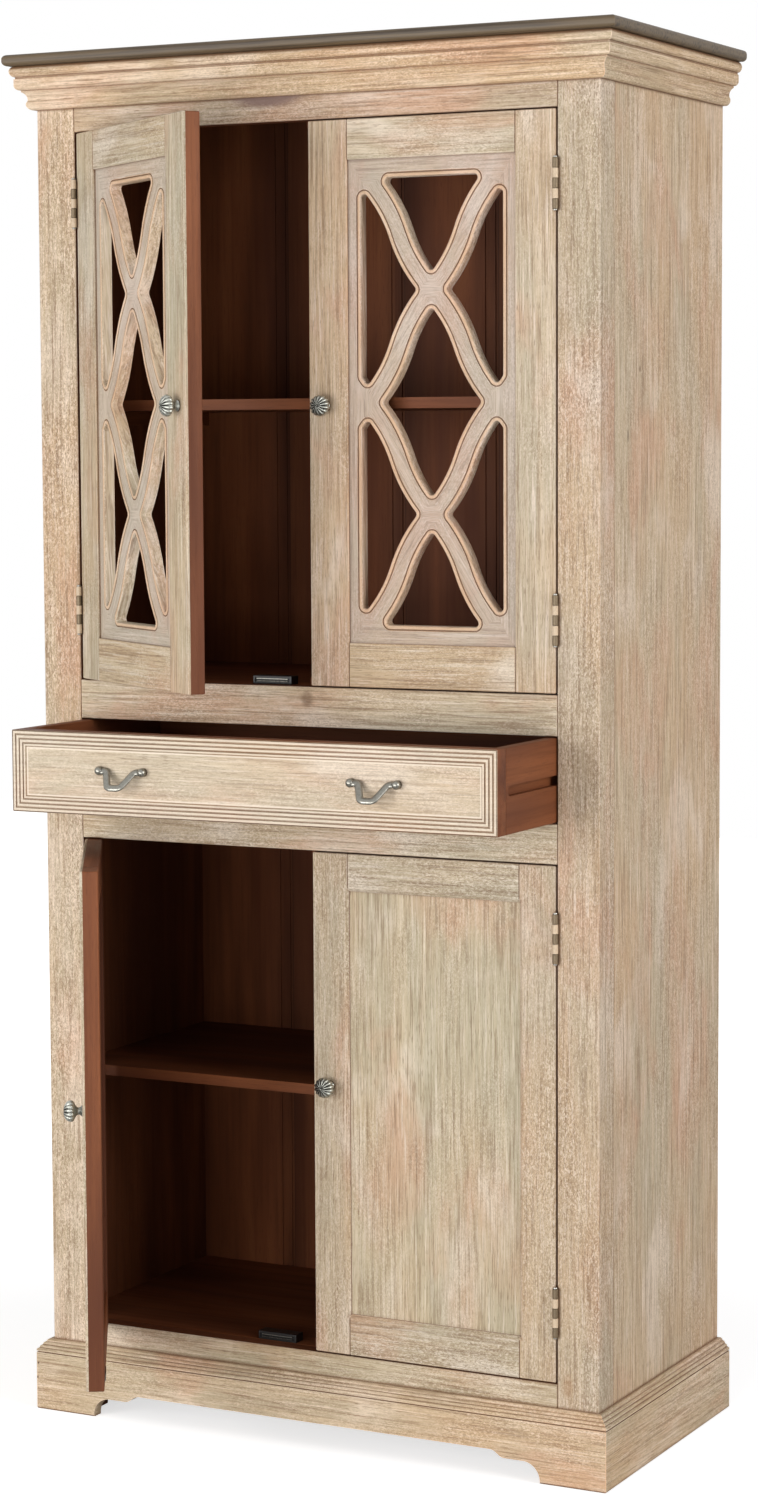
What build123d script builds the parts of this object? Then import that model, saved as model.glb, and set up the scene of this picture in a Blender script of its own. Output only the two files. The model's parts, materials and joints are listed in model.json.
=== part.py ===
from build123d import *
import math
import os

# Tall two-part trastero cabinet: lattice doors above, a wide drawer, panelled doors below.
#
# Millimetres. +Z is up, the front looks along -Y and +X is to the viewer's right. The model is laid
# out from the front plane of the face frame, the floor and the centre line, and is moved back to its
# origin on the floor at the end. Right-hand doors are drawn closed; left-hand ones are their mirror
# images, turned on their hinges to the angles at which the cabinet stands open.

# ---------------------------------------------------------------- carcass
carcass_width = 880.0
carcass_depth = 440.0
post_width = 62.0
post_depth = 50.0
side_thickness = 16.0
rail_thickness = 26.0
edge_ease = 1.2
tenon_length = 22.0
tenon_thickness = 9.0
tenon_shoulder = 6.0

# levels up the face frame, each one stacked on the one below
bottom_rail_top = 137.0
lower_opening_height = 719.0
lower_rail_height = 55.0
drawer_opening_height = 119.0
middle_rail_height = 56.0
upper_opening_height = 783.0
top_rail_height = 95.0
bottom_rail_height = 90.0

# ---------------------------------------------------------------- boards inside
board_thickness = 15.0
shelf_setback = 36.0
lower_shelf_height = 378.0
upper_shelf_height = 402.0
back_board_thickness = 14.0
back_recess = 4.0
back_bead_width = 22.0
back_bead_depth = 2.0
back_groove_width = 6.0
back_tongue = 5.0
back_board_widths = (162.0, 199.0, 156.0, 177.0)
cleat_size = 20.0
cleat_front_margin = 20.0

# ---------------------------------------------------------------- top, cornice and skirt
top_thickness = 16.0
top_overhang = 36.0
top_edge_radius = 6.5
cornice_bead_reach = 28.7
cornice_bead_height = 15.0
cornice_quirk = 3.0
cornice_fascia_reach = 23.7
cornice_fascia_height = 9.0
cornice_ovolo_reach = 6.0
cornice_ovolo_height = 6.5
cornice_fillet_height = 2.5
cornice_cove_reach = 6.5
cornice_cove_height = 12.5
cornice_astragal_height = 12.5
skirt_height = 104.0
skirt_reach = 19.0
skirt_quirk = 1.8
skirt_reed_count = 3
skirt_reed_height = 4.2
skirt_reed_step = 3.6
skirt_reed_swell = 1.1
skirt_ledge_height = 4.0
skirt_toe_round = 3.0
foot_width = 99.0
foot_curve_radius = 26.0
foot_toe = 3.0
scallop_flat = 27.0
scallop_cyma_run = 24.0
scallop_height = 39.0

# ---------------------------------------------------------------- doors
door_thickness = 25.0
door_side_gap = 2.4
door_end_gap = 2.0
door_meeting_gap = 3.0
upper_stile_width = 60.0
upper_door_top_rail = 55.0
upper_door_bottom_rail = 61.0
lower_stile_width = 55.0
lower_door_top_rail = 53.0
lower_door_bottom_rail = 58.0
panel_groove_depth = 8.0
panel_groove_width = 8.0
panel_groove_setback = 9.0
panel_expansion_gap = 1.0
panel_setback = 6.0
panel_bevel_width = 5.0
panel_bevel_depth = 5.0
upper_left_door_angle = 35.5
lower_left_door_angle = 59.0

# ---------------------------------------------------------------- ogee lattice
lattice_thickness = 16.0
lattice_setback = 3.0
lattice_side_border = 20.0
lattice_end_border = 26.0
lattice_bar_width = 33.0
lattice_ogee_swell = 5.3
lattice_node_inset = 9.0
lattice_tip_radius = 5.0
lattice_corner_turn = 0.05
lattice_corner_reach = 0.01

# ---------------------------------------------------------------- hinges
hinge_height = 68.0
hinge_inset = 99.0
hinge_knuckle_count = 3
knuckle_radius = 4.0
knuckle_gap = 0.3
hinge_pin_radius = 2.0
hinge_pin_play = 0.05
hinge_flat_count = 10
leaf_thickness = 1.1
leaf_width = 21.0
hinge_stand_off = 0.3

# ---------------------------------------------------------------- knobs and pulls
knob_inset = 25.0
upper_knob_lift = 389.0
lower_knob_lift = 384.0
knob_foot_radius = 8.0
knob_neck_radius = 4.2
knob_neck_length = 15.0
knob_head_radius = 15.0
knob_head_height = 11.0
knob_rim_height = 4.0
knob_foot_thickness = 1.5
knob_petal_count = 14
knob_petal_notch = 0.88
knob_button_radius = 5.5
pull_spacing = 392.0
pull_span = 69.0
pull_ball_radius = 6.3
pull_ball_stand = 7.0
pull_post_radius = 3.5
pull_ball_flat_count = 12
pull_strap_width = 8.4
pull_strap_thickness = 5.0
pull_shoulder = 15.5
pull_loop_taper = 4.0
pull_shoulder_radius = 7.0
pull_loop_radius = 13.0
pull_drop = 21.0
pull_reach = 19.0
pull_drop_from_top = 52.0

# ---------------------------------------------------------------- catches and stops
catch_length = 62.0
catch_depth = 21.0
catch_height = 12.0
catch_offset = 76.0
catch_gap = 0.4
strike_thickness = 1.2
strike_length = 44.0
strike_height = 11.0
catch_slot_height = 5.0
catch_slot_depth = 2.5
stop_width = 27.0
stop_depth = 13.0
stop_drop = 8.0
stop_height = 28.0
floor_stop_height = 12.0

# ---------------------------------------------------------------- drawer
drawer_gap = 2.0
drawer_depth = 390.0
drawer_front_thickness = 27.0
drawer_side_thickness = 16.0
drawer_back_thickness = 14.0
drawer_back_drop = 12.0
drawer_bottom_thickness = 6.0
drawer_bottom_lift = 10.0
drawer_bottom_tongue = 5.0
drawer_groove_height = 14.0
drawer_groove_depth = 10.0
drawer_groove_start = 6.0
runner_clearance = 0.4
runner_height = 30.0
drawer_border = 23.0
drawer_field_depth = 3.0
drawer_bead_count = 3
drawer_bead_width = 4.4
drawer_bead_groove = 1.5
drawer_bead_groove_depth = 1.8
drawer_rest_travel = 186.0

# ---------------------------------------------------------------- derived levels and places
half_width = carcass_width / 2
half_opening = half_width - post_width
inner_half = half_width - side_thickness
lower_door_sill = bottom_rail_top
lower_door_head = lower_door_sill + lower_opening_height
drawer_sill = lower_door_head + lower_rail_height
drawer_head = drawer_sill + drawer_opening_height
upper_door_sill = drawer_head + middle_rail_height
upper_door_head = upper_door_sill + upper_opening_height
top_underside = upper_door_head + top_rail_height
overall_height = top_underside + top_thickness
back_face = carcass_depth - back_recess - back_board_thickness
lower_shelf_top = lower_door_sill + lower_shelf_height
upper_shelf_top = upper_door_sill + upper_shelf_height
hinge_x = half_opening - door_side_gap / 2
hinge_y = -(knuckle_radius + hinge_stand_off)
door_edge = half_opening - door_side_gap
door_lap = door_meeting_gap / 2
runner_level = drawer_sill + drawer_opening_height / 2

# the origin stands halfway between the back and the free edge of the door that is furthest open
open_angle = math.radians(max(lower_left_door_angle, upper_left_door_angle))
front_reach = (hinge_x - door_lap) * math.sin(open_angle) - hinge_y * (1 - math.cos(open_angle))
origin_depth = (carcass_depth - front_reach) / 2

parts = {}


def block(x0, x1, y0, y1, z0, z1):
    """A square-cut solid between two opposite corners."""
    centre = Pos((x0 + x1) / 2, (y0 + y1) / 2, (z0 + z1) / 2)
    return centre * Box(x1 - x0, y1 - y0, z1 - z0)


def board(x0, x1, y0, y1, z0, z1):
    """A planed board with every arris eased."""
    solid = block(x0, x1, y0, y1, z0, z1)
    return chamfer(solid.edges(), edge_ease)


def mirrored(shape):
    """The same piece on the other side of the centre line."""
    return mirror(shape, about=Plane.YZ)


# ================================================================ face frame
def rail_tenons(z0, z1):
    """The pair of tenons at the ends of one rail of the face frame."""
    y0 = (rail_thickness - tenon_thickness) / 2
    reach = half_opening + tenon_length
    low = z0 + tenon_shoulder
    high = z1 - tenon_shoulder
    right = block(half_opening, reach, y0, y0 + tenon_thickness, low, high)
    return [right, mirrored(right)]


def face_rail(z0, z1):
    """A rail across the face frame, tenoned into both posts."""
    rail = board(-half_opening, half_opening, 0, rail_thickness, z0, z1)
    for tenon in rail_tenons(z0, z1):
        rail += tenon
    return rail


rail_levels = {
    "bottom_rail": (bottom_rail_top - bottom_rail_height, bottom_rail_top),
    "lower_rail": (lower_door_head, drawer_sill),
    "middle_rail": (drawer_head, upper_door_sill),
    "top_rail": (upper_door_head, top_underside),
}
for rail_name, (rail_low, rail_high) in rail_levels.items():
    parts[rail_name] = face_rail(rail_low, rail_high)

right_post = board(half_opening, half_width, 0, post_depth, 0, top_underside)
for rail_low, rail_high in rail_levels.values():
    right_post -= rail_tenons(rail_low, rail_high)[0]
parts["right_front_post"] = right_post
parts["left_front_post"] = mirrored(right_post)

right_side = board(inner_half, half_width, post_depth, carcass_depth, 0, top_underside)
parts["right_side_panel"] = right_side
parts["left_side_panel"] = mirrored(right_side)


# ================================================================ boards inside
def cross_board(top_level, front):
    """A board between the side panels, notched round the two front posts."""
    low = top_level - board_thickness
    wide = block(-inner_half, inner_half, post_depth, back_face, low, top_level)
    nose = block(-half_opening, half_opening, front, post_depth, low, top_level)
    return wide + nose


parts["bottom_board"] = cross_board(lower_door_sill, rail_thickness)
parts["lower_shelf"] = cross_board(lower_shelf_top, shelf_setback)
parts["drawer_dust_board"] = cross_board(drawer_sill, rail_thickness)
parts["upper_cupboard_floor"] = cross_board(upper_door_sill, rail_thickness)
parts["upper_shelf"] = cross_board(upper_shelf_top, shelf_setback)


def back_board(x0, x1, first, last):
    """One tongued-and-grooved board of the back, with a sunk strip along its right edge."""
    face = back_face
    rear = face + back_board_thickness
    low = lower_door_sill - board_thickness
    solid = block(x0, x1, face, rear, low, top_underside)
    sunk = face + back_bead_depth
    middle = face + back_board_thickness / 2
    half_tongue = back_board_thickness / 6
    if not last:
        solid -= block(x1 - back_bead_width, x1, face, sunk, low, top_underside)
        solid -= block(x1 - back_groove_width, x1, face, sunk + back_bead_depth, low, top_underside)
        solid -= block(x1 - back_tongue, x1, middle - half_tongue, middle + half_tongue, low,
                       top_underside)
    if not first:
        solid += block(x0 - back_tongue, x0, middle - half_tongue, middle + half_tongue, low,
                       top_underside)
    return solid


board_lines = [-inner_half]
for board_width in back_board_widths:
    board_lines.append(board_lines[-1] + board_width)
board_lines.append(inner_half)
last_board = len(board_lines) - 2
back_boards = []
for number in range(last_board + 1):
    back_boards.append(back_board(board_lines[number], board_lines[number + 1],
                                  number == 0, number == last_board))
parts["back_boards"] = Compound(back_boards)

cleats = []
for shelf_top in (lower_shelf_top, upper_shelf_top):
    cleat_top = shelf_top - board_thickness
    right_cleat = block(inner_half - cleat_size, inner_half, post_depth + cleat_front_margin,
                        back_face, cleat_top - cleat_size, cleat_top)
    cleats += [right_cleat, mirrored(right_cleat)]
parts["shelf_cleats"] = Compound(cleats)


# ================================================================ top, cornice and skirt
top = block(-half_width - top_overhang, half_width + top_overhang, -top_overhang, carcass_depth,
            top_underside, overall_height)
back_edges = top.edges().filter_by_position(Axis.Y, carcass_depth - edge_ease, carcass_depth + edge_ease)
corner_edges = top.edges().filter_by(Axis.Z)
parts["top_board"] = fillet(top.edges() - back_edges - corner_edges, top_edge_radius)


def quarter_round(centre, reach, height, start):
    """A round quarter of a moulding about its centre, from the angle start onwards."""
    points = []
    for step in (0, 45, 90):
        angle = math.radians(start + step)
        points.append((centre[0] + reach * math.cos(angle), centre[1] + height * math.sin(angle)))
    return ThreePointArc(*points)


def cornice_profile():
    """Half-section of the cornice: (reach from the carcass, height), from the top downwards."""
    z = top_underside
    outline = [Line((0, z), (cornice_fascia_reach, z))]
    start = (cornice_fascia_reach, z)
    end = (cornice_fascia_reach, z - cornice_bead_height)
    crest = (cornice_bead_reach, z - cornice_bead_height / 2)
    outline.append(ThreePointArc(start, crest, end))
    z -= cornice_bead_height
    inset = cornice_fascia_reach - cornice_quirk / 2
    outline.append(Polyline((cornice_fascia_reach, z), (inset, z), (inset, z - cornice_quirk),
                            (cornice_fascia_reach, z - cornice_quirk)))
    z -= cornice_quirk
    outline.append(Line((cornice_fascia_reach, z), (cornice_fascia_reach, z - cornice_fascia_height)))
    z -= cornice_fascia_height
    ovolo_reach = cornice_fascia_reach - cornice_ovolo_reach
    outline.append(quarter_round((ovolo_reach, z), cornice_ovolo_reach, cornice_ovolo_height, 270))
    z -= cornice_ovolo_height
    fillet_reach = ovolo_reach - cornice_quirk / 2
    outline.append(Polyline((ovolo_reach, z), (fillet_reach, z), (fillet_reach, z - cornice_fillet_height)))
    z -= cornice_fillet_height
    cove_reach = fillet_reach - cornice_cove_reach
    outline.append(quarter_round((fillet_reach, z - cornice_cove_height), cornice_cove_reach,
                                 cornice_cove_height, 90))
    z -= cornice_cove_height
    foot = z - cornice_astragal_height
    crest = (cove_reach + cornice_quirk / 2, z - cornice_astragal_height / 2)
    outline.append(ThreePointArc((cove_reach, z), crest, (cove_reach / 2, foot)))
    outline.append(Polyline((cove_reach / 2, foot), (0, foot), (0, top_underside)))
    return make_face(outline)


def skirt_profile():
    """Half-section of the skirt: a plain board with a quirk and a flight of reeds worked on its top."""
    foot_of_reeds = skirt_height - skirt_ledge_height - skirt_reed_count * skirt_reed_height
    plain_top = foot_of_reeds - skirt_quirk
    groove = skirt_reach - skirt_quirk
    outline = [
        quarter_round((skirt_reach - skirt_toe_round, skirt_toe_round), skirt_toe_round,
                      skirt_toe_round, 270),
        Polyline((skirt_reach, skirt_toe_round), (skirt_reach, plain_top), (groove, plain_top),
                 (groove, foot_of_reeds), (skirt_reach, foot_of_reeds)),
    ]
    reach = skirt_reach
    z = foot_of_reeds
    for reed in range(skirt_reed_count):
        inner = reach - skirt_reed_step
        crest = (reach - skirt_reed_step / 2 + skirt_reed_swell, z + skirt_reed_height / 2 + skirt_reed_swell)
        outline.append(ThreePointArc((reach, z), crest, (inner, z + skirt_reed_height)))
        reach = inner
        z += skirt_reed_height
    ledge = reach - skirt_ledge_height
    outline.append(quarter_round((ledge, z), skirt_ledge_height, skirt_ledge_height, 0))
    outline.append(Polyline((ledge, skirt_height), (0, skirt_height), (0, 0),
                            (skirt_reach - skirt_toe_round, 0)))
    return make_face(outline)


def front_run(profile, reach):
    """A moulding along the front of the carcass, mitred at both ends."""
    length = half_width + reach
    section = Plane(origin=(-length, 0, 0), x_dir=(0, -1, 0), z_dir=(-1, 0, 0)) * profile
    run = extrude(section, amount=2 * length, dir=(1, 0, 0))
    plan = make_face(Polyline((-half_width, 0), (half_width, 0), (length, -reach), (-length, -reach),
                              close=True))
    return run & extrude(plan, amount=overall_height)


def side_run(profile, reach):
    """The same moulding down the right side, mitred at the front and square at the back."""
    section = Plane(origin=(half_width, -reach, 0), x_dir=(1, 0, 0), z_dir=(0, -1, 0)) * profile
    run = extrude(section, amount=carcass_depth + reach, dir=(0, 1, 0))
    outer = half_width + reach
    plan = make_face(Polyline((half_width, 0), (outer, -reach), (outer, carcass_depth),
                              (half_width, carcass_depth), close=True))
    return run & extrude(plan, amount=overall_height)


cornice_section = cornice_profile()
parts["cornice_front"] = front_run(cornice_section, cornice_bead_reach)
parts["cornice_right"] = side_run(cornice_section, cornice_bead_reach)
parts["cornice_left"] = mirrored(parts["cornice_right"])


def skirt_scallop():
    """The shaped gap under the front skirt, between its two feet."""
    foot = half_width + skirt_reach - foot_width
    shoulder = foot - foot_curve_radius
    arch_top = foot_toe + foot_curve_radius
    flat_end = shoulder - scallop_flat
    rise = flat_end - scallop_cyma_run
    outline = [
        Line((0, 0), (foot, 0)),
        Line((foot, 0), (foot, foot_toe)),
        CenterArc((shoulder, foot_toe), foot_curve_radius, 0, 90),
        Line((shoulder, arch_top), (flat_end, arch_top)),
        Spline((flat_end, arch_top), (rise, scallop_height), tangents=[(-1, 0), (-1, 0)]),
        Line((rise, scallop_height), (0, scallop_height)),
        Line((0, scallop_height), (0, 0)),
    ]
    half = Plane.XZ * make_face(outline)
    cut = extrude(half, amount=skirt_reach, dir=(0, -1, 0))
    return cut + mirrored(cut)


skirt_section = skirt_profile()
parts["skirt_front"] = front_run(skirt_section, skirt_reach) - skirt_scallop()
parts["skirt_right"] = side_run(skirt_section, skirt_reach)
parts["skirt_left"] = mirrored(parts["skirt_right"])


# ================================================================ drawer runners, stops, catches
def drawer_runner():
    """Right-hand runner: a packer on the side panel with a tongue that carries the drawer."""
    low = runner_level - runner_height / 2
    packer = block(half_opening, inner_half, post_depth, back_face, low, low + runner_height)
    tongue_reach = half_opening - drawer_gap - drawer_groove_depth + runner_clearance
    half_tongue = drawer_groove_height / 2 - runner_clearance
    tongue = block(tongue_reach, half_opening, post_depth, back_face, runner_level - half_tongue,
                   runner_level + half_tongue)
    return packer + tongue


parts["right_drawer_runner"] = drawer_runner()
parts["left_drawer_runner"] = mirrored(parts["right_drawer_runner"])

stops = []
for sill, head in ((lower_door_sill, lower_door_head), (upper_door_sill, upper_door_head)):
    stops.append(block(-stop_width / 2, stop_width / 2, rail_thickness, rail_thickness + stop_depth,
                       head - stop_drop, head - stop_drop + stop_height))
    stops.append(block(-stop_width / 2, stop_width / 2, rail_thickness, rail_thickness + stop_depth,
                       sill, sill + floor_stop_height))
parts["door_stop_blocks"] = Compound(stops)


def door_catch(sill):
    """A magnetic catch on the cupboard floor, with a slot for its keeper along the front."""
    front = door_thickness + strike_thickness + catch_gap
    x0 = catch_offset - catch_length / 2
    x1 = x0 + catch_length
    body = board(x0, x1, front, front + catch_depth, sill, sill + catch_height)
    slot_low = sill + (catch_height - catch_slot_height) / 2
    slot = block(x0 + catch_slot_depth, x1 - catch_slot_depth, front, front + catch_slot_depth,
                 slot_low, slot_low + catch_slot_height)
    return body - slot


catches = []
for sill in (lower_door_sill, upper_door_sill):
    right_catch = door_catch(sill)
    catches += [right_catch, mirrored(right_catch)]
parts["door_catches"] = Compound(catches)


# ================================================================ hinges
knuckle_pitch = hinge_height / hinge_knuckle_count


def hinge_round(radius, length):
    """A small round bar, drawn with flats, standing on its end."""
    return extrude(RegularPolygon(radius, hinge_flat_count), amount=length)


def hinge_knuckle(low, number):
    """One knuckle of a butt hinge, bored for the pin; numbers count up from the bottom."""
    z0 = low + number * knuckle_pitch + knuckle_gap / 2
    length = knuckle_pitch - knuckle_gap
    bore_radius = (hinge_pin_radius + hinge_pin_play) / math.cos(math.pi / hinge_flat_count)
    barrel = hinge_round(knuckle_radius, length) - hinge_round(bore_radius, length)
    return Pos(hinge_x, hinge_y, z0) * barrel


def hinge_leaf(low, outer, numbers):
    """A leaf with the knuckles in numbers; outer says whether it lies on the post or the door."""
    if outer:
        x0 = half_opening - leaf_thickness
        x1 = half_opening
    else:
        x0 = door_edge
        x1 = door_edge + leaf_thickness
    plate = block(x0, x1, hinge_stand_off, leaf_width, low, low + hinge_height)
    wrap = (knuckle_radius + hinge_pin_radius) / 2
    for number in numbers:
        z0 = low + number * knuckle_pitch + knuckle_gap / 2
        plate += block(x0, x1, hinge_y + wrap, hinge_stand_off + 1, z0,
                       z0 + knuckle_pitch - knuckle_gap)
        plate += hinge_knuckle(low, number)
    return plate


def hinge_pin(low):
    """The loose pin through all the knuckles of one hinge."""
    return Pos(hinge_x, hinge_y, low) * hinge_round(hinge_pin_radius, hinge_height)


def hinge_lows(sill, head):
    """The lower ends of a door's bottom and top hinges."""
    low_centre = sill + door_end_gap + hinge_inset
    high_centre = head - door_end_gap - hinge_inset
    return low_centre - hinge_height / 2, high_centre - hinge_height / 2


even_knuckles = tuple(range(0, hinge_knuckle_count, 2))
odd_knuckles = tuple(range(1, hinge_knuckle_count, 2))


def hinge_sides(sill, head, outer):
    """Both leaves of one kind on a right-hand door; the bottom hinge is fitted end for end."""
    bottom, top = hinge_lows(sill, head)
    bottom_numbers = odd_knuckles if outer else even_knuckles
    top_numbers = even_knuckles if outer else odd_knuckles
    return [hinge_leaf(bottom, outer, bottom_numbers), hinge_leaf(top, outer, top_numbers)]


frame_leaves = []
pins = []
for sill, head in ((lower_door_sill, lower_door_head), (upper_door_sill, upper_door_head)):
    frame_leaves += hinge_sides(sill, head, True)
    pins += [hinge_pin(low) for low in hinge_lows(sill, head)]
parts["right_hinge_frame_leaves"] = Compound(frame_leaves)
parts["left_hinge_frame_leaves"] = Compound([mirrored(leaf) for leaf in frame_leaves])
parts["hinge_pins"] = Compound(pins + [mirrored(pin) for pin in pins])


# ================================================================ doors
def ring_points(radius, height, corners, notch):
    """Corners round a circle, every other one drawn in to notch times the radius."""
    points = []
    for number in range(corners):
        reach = radius if number % 2 == 0 else radius * notch
        turn = 2 * math.pi * number / corners
        points.append((reach * math.cos(turn), reach * math.sin(turn), height))
    return points


def flat_sided(rings, corners, notch=1.0):
    """A solid of flat facets through rings of (radius, height), such as a cast head with petals."""
    levels = [ring_points(radius, height, corners, notch) for radius, height in rings]
    faces = [make_face(Polyline(*levels[0], close=True)), make_face(Polyline(*levels[-1], close=True))]
    for lower, upper in zip(levels, levels[1:]):
        for number in range(corners):
            after = (number + 1) % corners
            faces.append(make_face(Polyline(lower[number], lower[after], upper[after], upper[number],
                                            close=True)))
    return Solid(Shell(faces))


def knob(height):
    """A rosette knob on a waisted neck, standing on the meeting stile."""
    rim = knob_neck_length + knob_rim_height
    tip = knob_neck_length + knob_head_height
    under_head = knob_head_radius * knob_petal_notch
    stem = flat_sided([(knob_foot_radius, 0), (knob_foot_radius, knob_foot_thickness),
                       (knob_neck_radius, knob_neck_length / 2), (under_head, rim)], knob_petal_count)
    petals = flat_sided([(knob_head_radius, rim), (knob_button_radius, tip)], 2 * knob_petal_count,
                        knob_petal_notch)
    return Pos(door_lap + knob_inset, 0, height) * Rot(90, 0, 0) * (stem + petals)


def frame_pieces(sill, head, stile_width, top_rail, bottom_rail):
    """Two stiles grooved for the panel and two rails stub-tenoned into the grooves."""
    low = sill + door_end_gap
    high = head - door_end_gap
    groove_y0 = panel_groove_setback
    groove_y1 = groove_y0 + panel_groove_width
    left_in = door_lap + stile_width
    right_in = door_edge - stile_width
    left = board(door_lap, left_in, 0, door_thickness, low, high)
    left -= block(left_in - panel_groove_depth, left_in, groove_y0, groove_y1, low, high)
    right = board(right_in, door_edge, 0, door_thickness, low, high)
    right -= block(right_in, right_in + panel_groove_depth, groove_y0, groove_y1, low, high)
    rails = []
    for z0, z1, groove_z in ((low, low + bottom_rail, low + bottom_rail - panel_groove_depth),
                             (high - top_rail, high, high - top_rail)):
        rail = board(left_in, right_in, 0, door_thickness, z0, z1)
        rail += block(left_in - panel_groove_depth, right_in + panel_groove_depth, groove_y0,
                      groove_y1, z0, z1)
        rail -= block(left_in - panel_groove_depth, right_in + panel_groove_depth, groove_y0,
                      groove_y1, groove_z, groove_z + panel_groove_depth)
        rails.append(rail)
    return [left, right], rails, (left_in, right_in, low + bottom_rail, high - top_rail)


def panel_body(opening, front, thickness):
    """A panel that fills the frame's opening, with a tongue all round in the grooves."""
    x0, x1, z0, z1 = opening
    reach = panel_groove_depth - panel_expansion_gap
    body = block(x0, x1, front, front + thickness, z0, z1)
    tongue = block(x0 - reach, x1 + reach, panel_groove_setback,
                   panel_groove_setback + panel_groove_width, z0 - reach, z1 + reach)
    return body + tongue


def bar_edge(repeat, spread, side, hand):
    """One edge of a lattice bar: a chain of equal arcs that bulge left and right by turns, two to each
    repeat. The bar leans to one side, hand says which edge, and both run past the field's border."""
    run = spread / 2
    rise = repeat / 2
    lean = math.atan2(rise, run)
    half_turn = 2 * math.atan(2 * lattice_ogee_swell / math.hypot(run, rise))
    arcs = []
    for number in range(-3, 3):
        bulge = 1 if number % 2 == 0 else -1
        points = []
        for step in (-1, 0, 1):
            heading = lean + step * bulge * half_turn
            swell = 0 if step else bulge * lattice_ogee_swell
            aside = hand * lattice_bar_width / 2 - swell
            along = number + (step + 1) / 2
            across = along * run - aside * math.sin(heading)
            points.append((side * across, along * rise + aside * math.cos(heading)))
        arcs.append(ThreePointArc(*points))
    return arcs


def lattice_bar(repeat, spread, side):
    """One S-curved bar through a crossing, leaning to one side."""
    near = bar_edge(repeat, spread, side, -1)
    far = bar_edge(repeat, spread, side, 1)
    return make_face([*near, *far, Line(near[0] @ 0, far[0] @ 0), Line(near[-1] @ 1, far[-1] @ 1)])


def sharp_corners(face):
    """The corners of an outline, without the joints where one arc runs on smoothly into the next."""
    corners = []
    for vertex in face.vertices():
        place = vertex.center()
        headings = []
        for edge in face.edges():
            for end in (0, 1):
                if (edge @ end - place).length < lattice_corner_reach:
                    headings.append(edge % end)
        if headings[0].cross(headings[1]).length > lattice_corner_turn:
            corners.append(vertex)
    return corners


def lattice_openings(opening):
    """The seven openings of the fretted panel, as faces in the plane of the door."""
    x0, x1, z0, z1 = opening
    width = x1 - x0 - 2 * lattice_side_border
    height = z1 - z0 - 2 * lattice_end_border
    repeat = height / 4
    centre_x = (x0 + x1) / 2
    centre_z = (z0 + z1) / 2
    spread = width / 2 - lattice_node_inset
    field = Rectangle(width, height)
    for crossing in (-repeat, repeat):
        for side in (-1, 1):
            field -= Pos(0, crossing) * lattice_bar(repeat, spread, side)
    openings = [face.fillet_2d(lattice_tip_radius, sharp_corners(face)) for face in field.faces()]
    plane = Plane(origin=(centre_x, lattice_setback, centre_z), x_dir=(1, 0, 0), z_dir=(0, -1, 0))
    return openings, plane


def lattice_panel(opening):
    """The fretted panel: seven openings sawn between ogee bars."""
    panel = panel_body(opening, lattice_setback, lattice_thickness)
    openings, plane = lattice_openings(opening)
    for face in openings:
        panel -= extrude(plane * face, amount=lattice_thickness * 2, both=True)
    return panel


def hung(pieces, left, angle=0.0):
    """A door's pieces as they stand: right-hand as drawn, left-hand mirrored and turned open."""
    if not left:
        return pieces
    axis = Axis((-hinge_x, hinge_y, 0), (0, 0, 1))
    return [mirrored(piece).rotate(axis, -angle) for piece in pieces]


def strike_plate(sill):
    """The steel keeper on the back of a door, opposite its catch."""
    x0 = catch_offset - strike_length / 2
    return block(x0, x0 + strike_length, door_thickness, door_thickness + strike_thickness,
                 sill + door_end_gap, sill + strike_height)


def build_door(name, sill, head, frame, panel, knob_height, left, angle):
    """Adds one hung door to the parts, as stiles, rails, panel, hinge leaves, knob and strike."""
    stiles, rails, opening = frame
    groups = {
        "stiles": stiles,
        "rails": rails,
        "panel": [panel],
        "hinge_leaves": hinge_sides(sill, head, False),
        "knob": [knob(knob_height)],
        "strike_plate": [strike_plate(sill)],
    }
    for group, pieces in groups.items():
        placed = hung(pieces, left, angle)
        parts[f"{name}_{group}"] = placed[0] if len(placed) == 1 else Compound(placed)


upper_frame = frame_pieces(upper_door_sill, upper_door_head, upper_stile_width, upper_door_top_rail,
                           upper_door_bottom_rail)
upper_panel = lattice_panel(upper_frame[2])


def bevelled_frame(frame):
    """Works the sloping edge round the front of the panel opening on all four members."""
    stiles, rails, opening = frame
    x0, x1, z0, z1 = opening
    plane = Plane(origin=((x0 + x1) / 2, panel_bevel_depth, (z0 + z1) / 2), x_dir=(1, 0, 0),
                  z_dir=(0, -1, 0))
    slope = math.degrees(math.atan2(panel_bevel_width, panel_bevel_depth))
    cutter = extrude(plane * Rectangle(x1 - x0, z1 - z0), amount=panel_bevel_depth, taper=-slope)
    return [stile - cutter for stile in stiles], [rail - cutter for rail in rails], opening


lower_frame = bevelled_frame(frame_pieces(lower_door_sill, lower_door_head, lower_stile_width,
                                          lower_door_top_rail, lower_door_bottom_rail))
lower_panel = panel_body(lower_frame[2], panel_setback,
                         panel_groove_setback + panel_groove_width - panel_setback)

build_door("upper_right_door", upper_door_sill, upper_door_head, upper_frame, upper_panel,
           upper_door_sill + door_end_gap + upper_knob_lift, False, 0)
build_door("upper_left_door", upper_door_sill, upper_door_head, upper_frame, upper_panel,
           upper_door_sill + door_end_gap + upper_knob_lift, True, upper_left_door_angle)
build_door("lower_right_door", lower_door_sill, lower_door_head, lower_frame, lower_panel,
           lower_door_sill + door_end_gap + lower_knob_lift, False, 0)
build_door("lower_left_door", lower_door_sill, lower_door_head, lower_frame, lower_panel,
           lower_door_sill + door_end_gap + lower_knob_lift, True, lower_left_door_angle)

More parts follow.
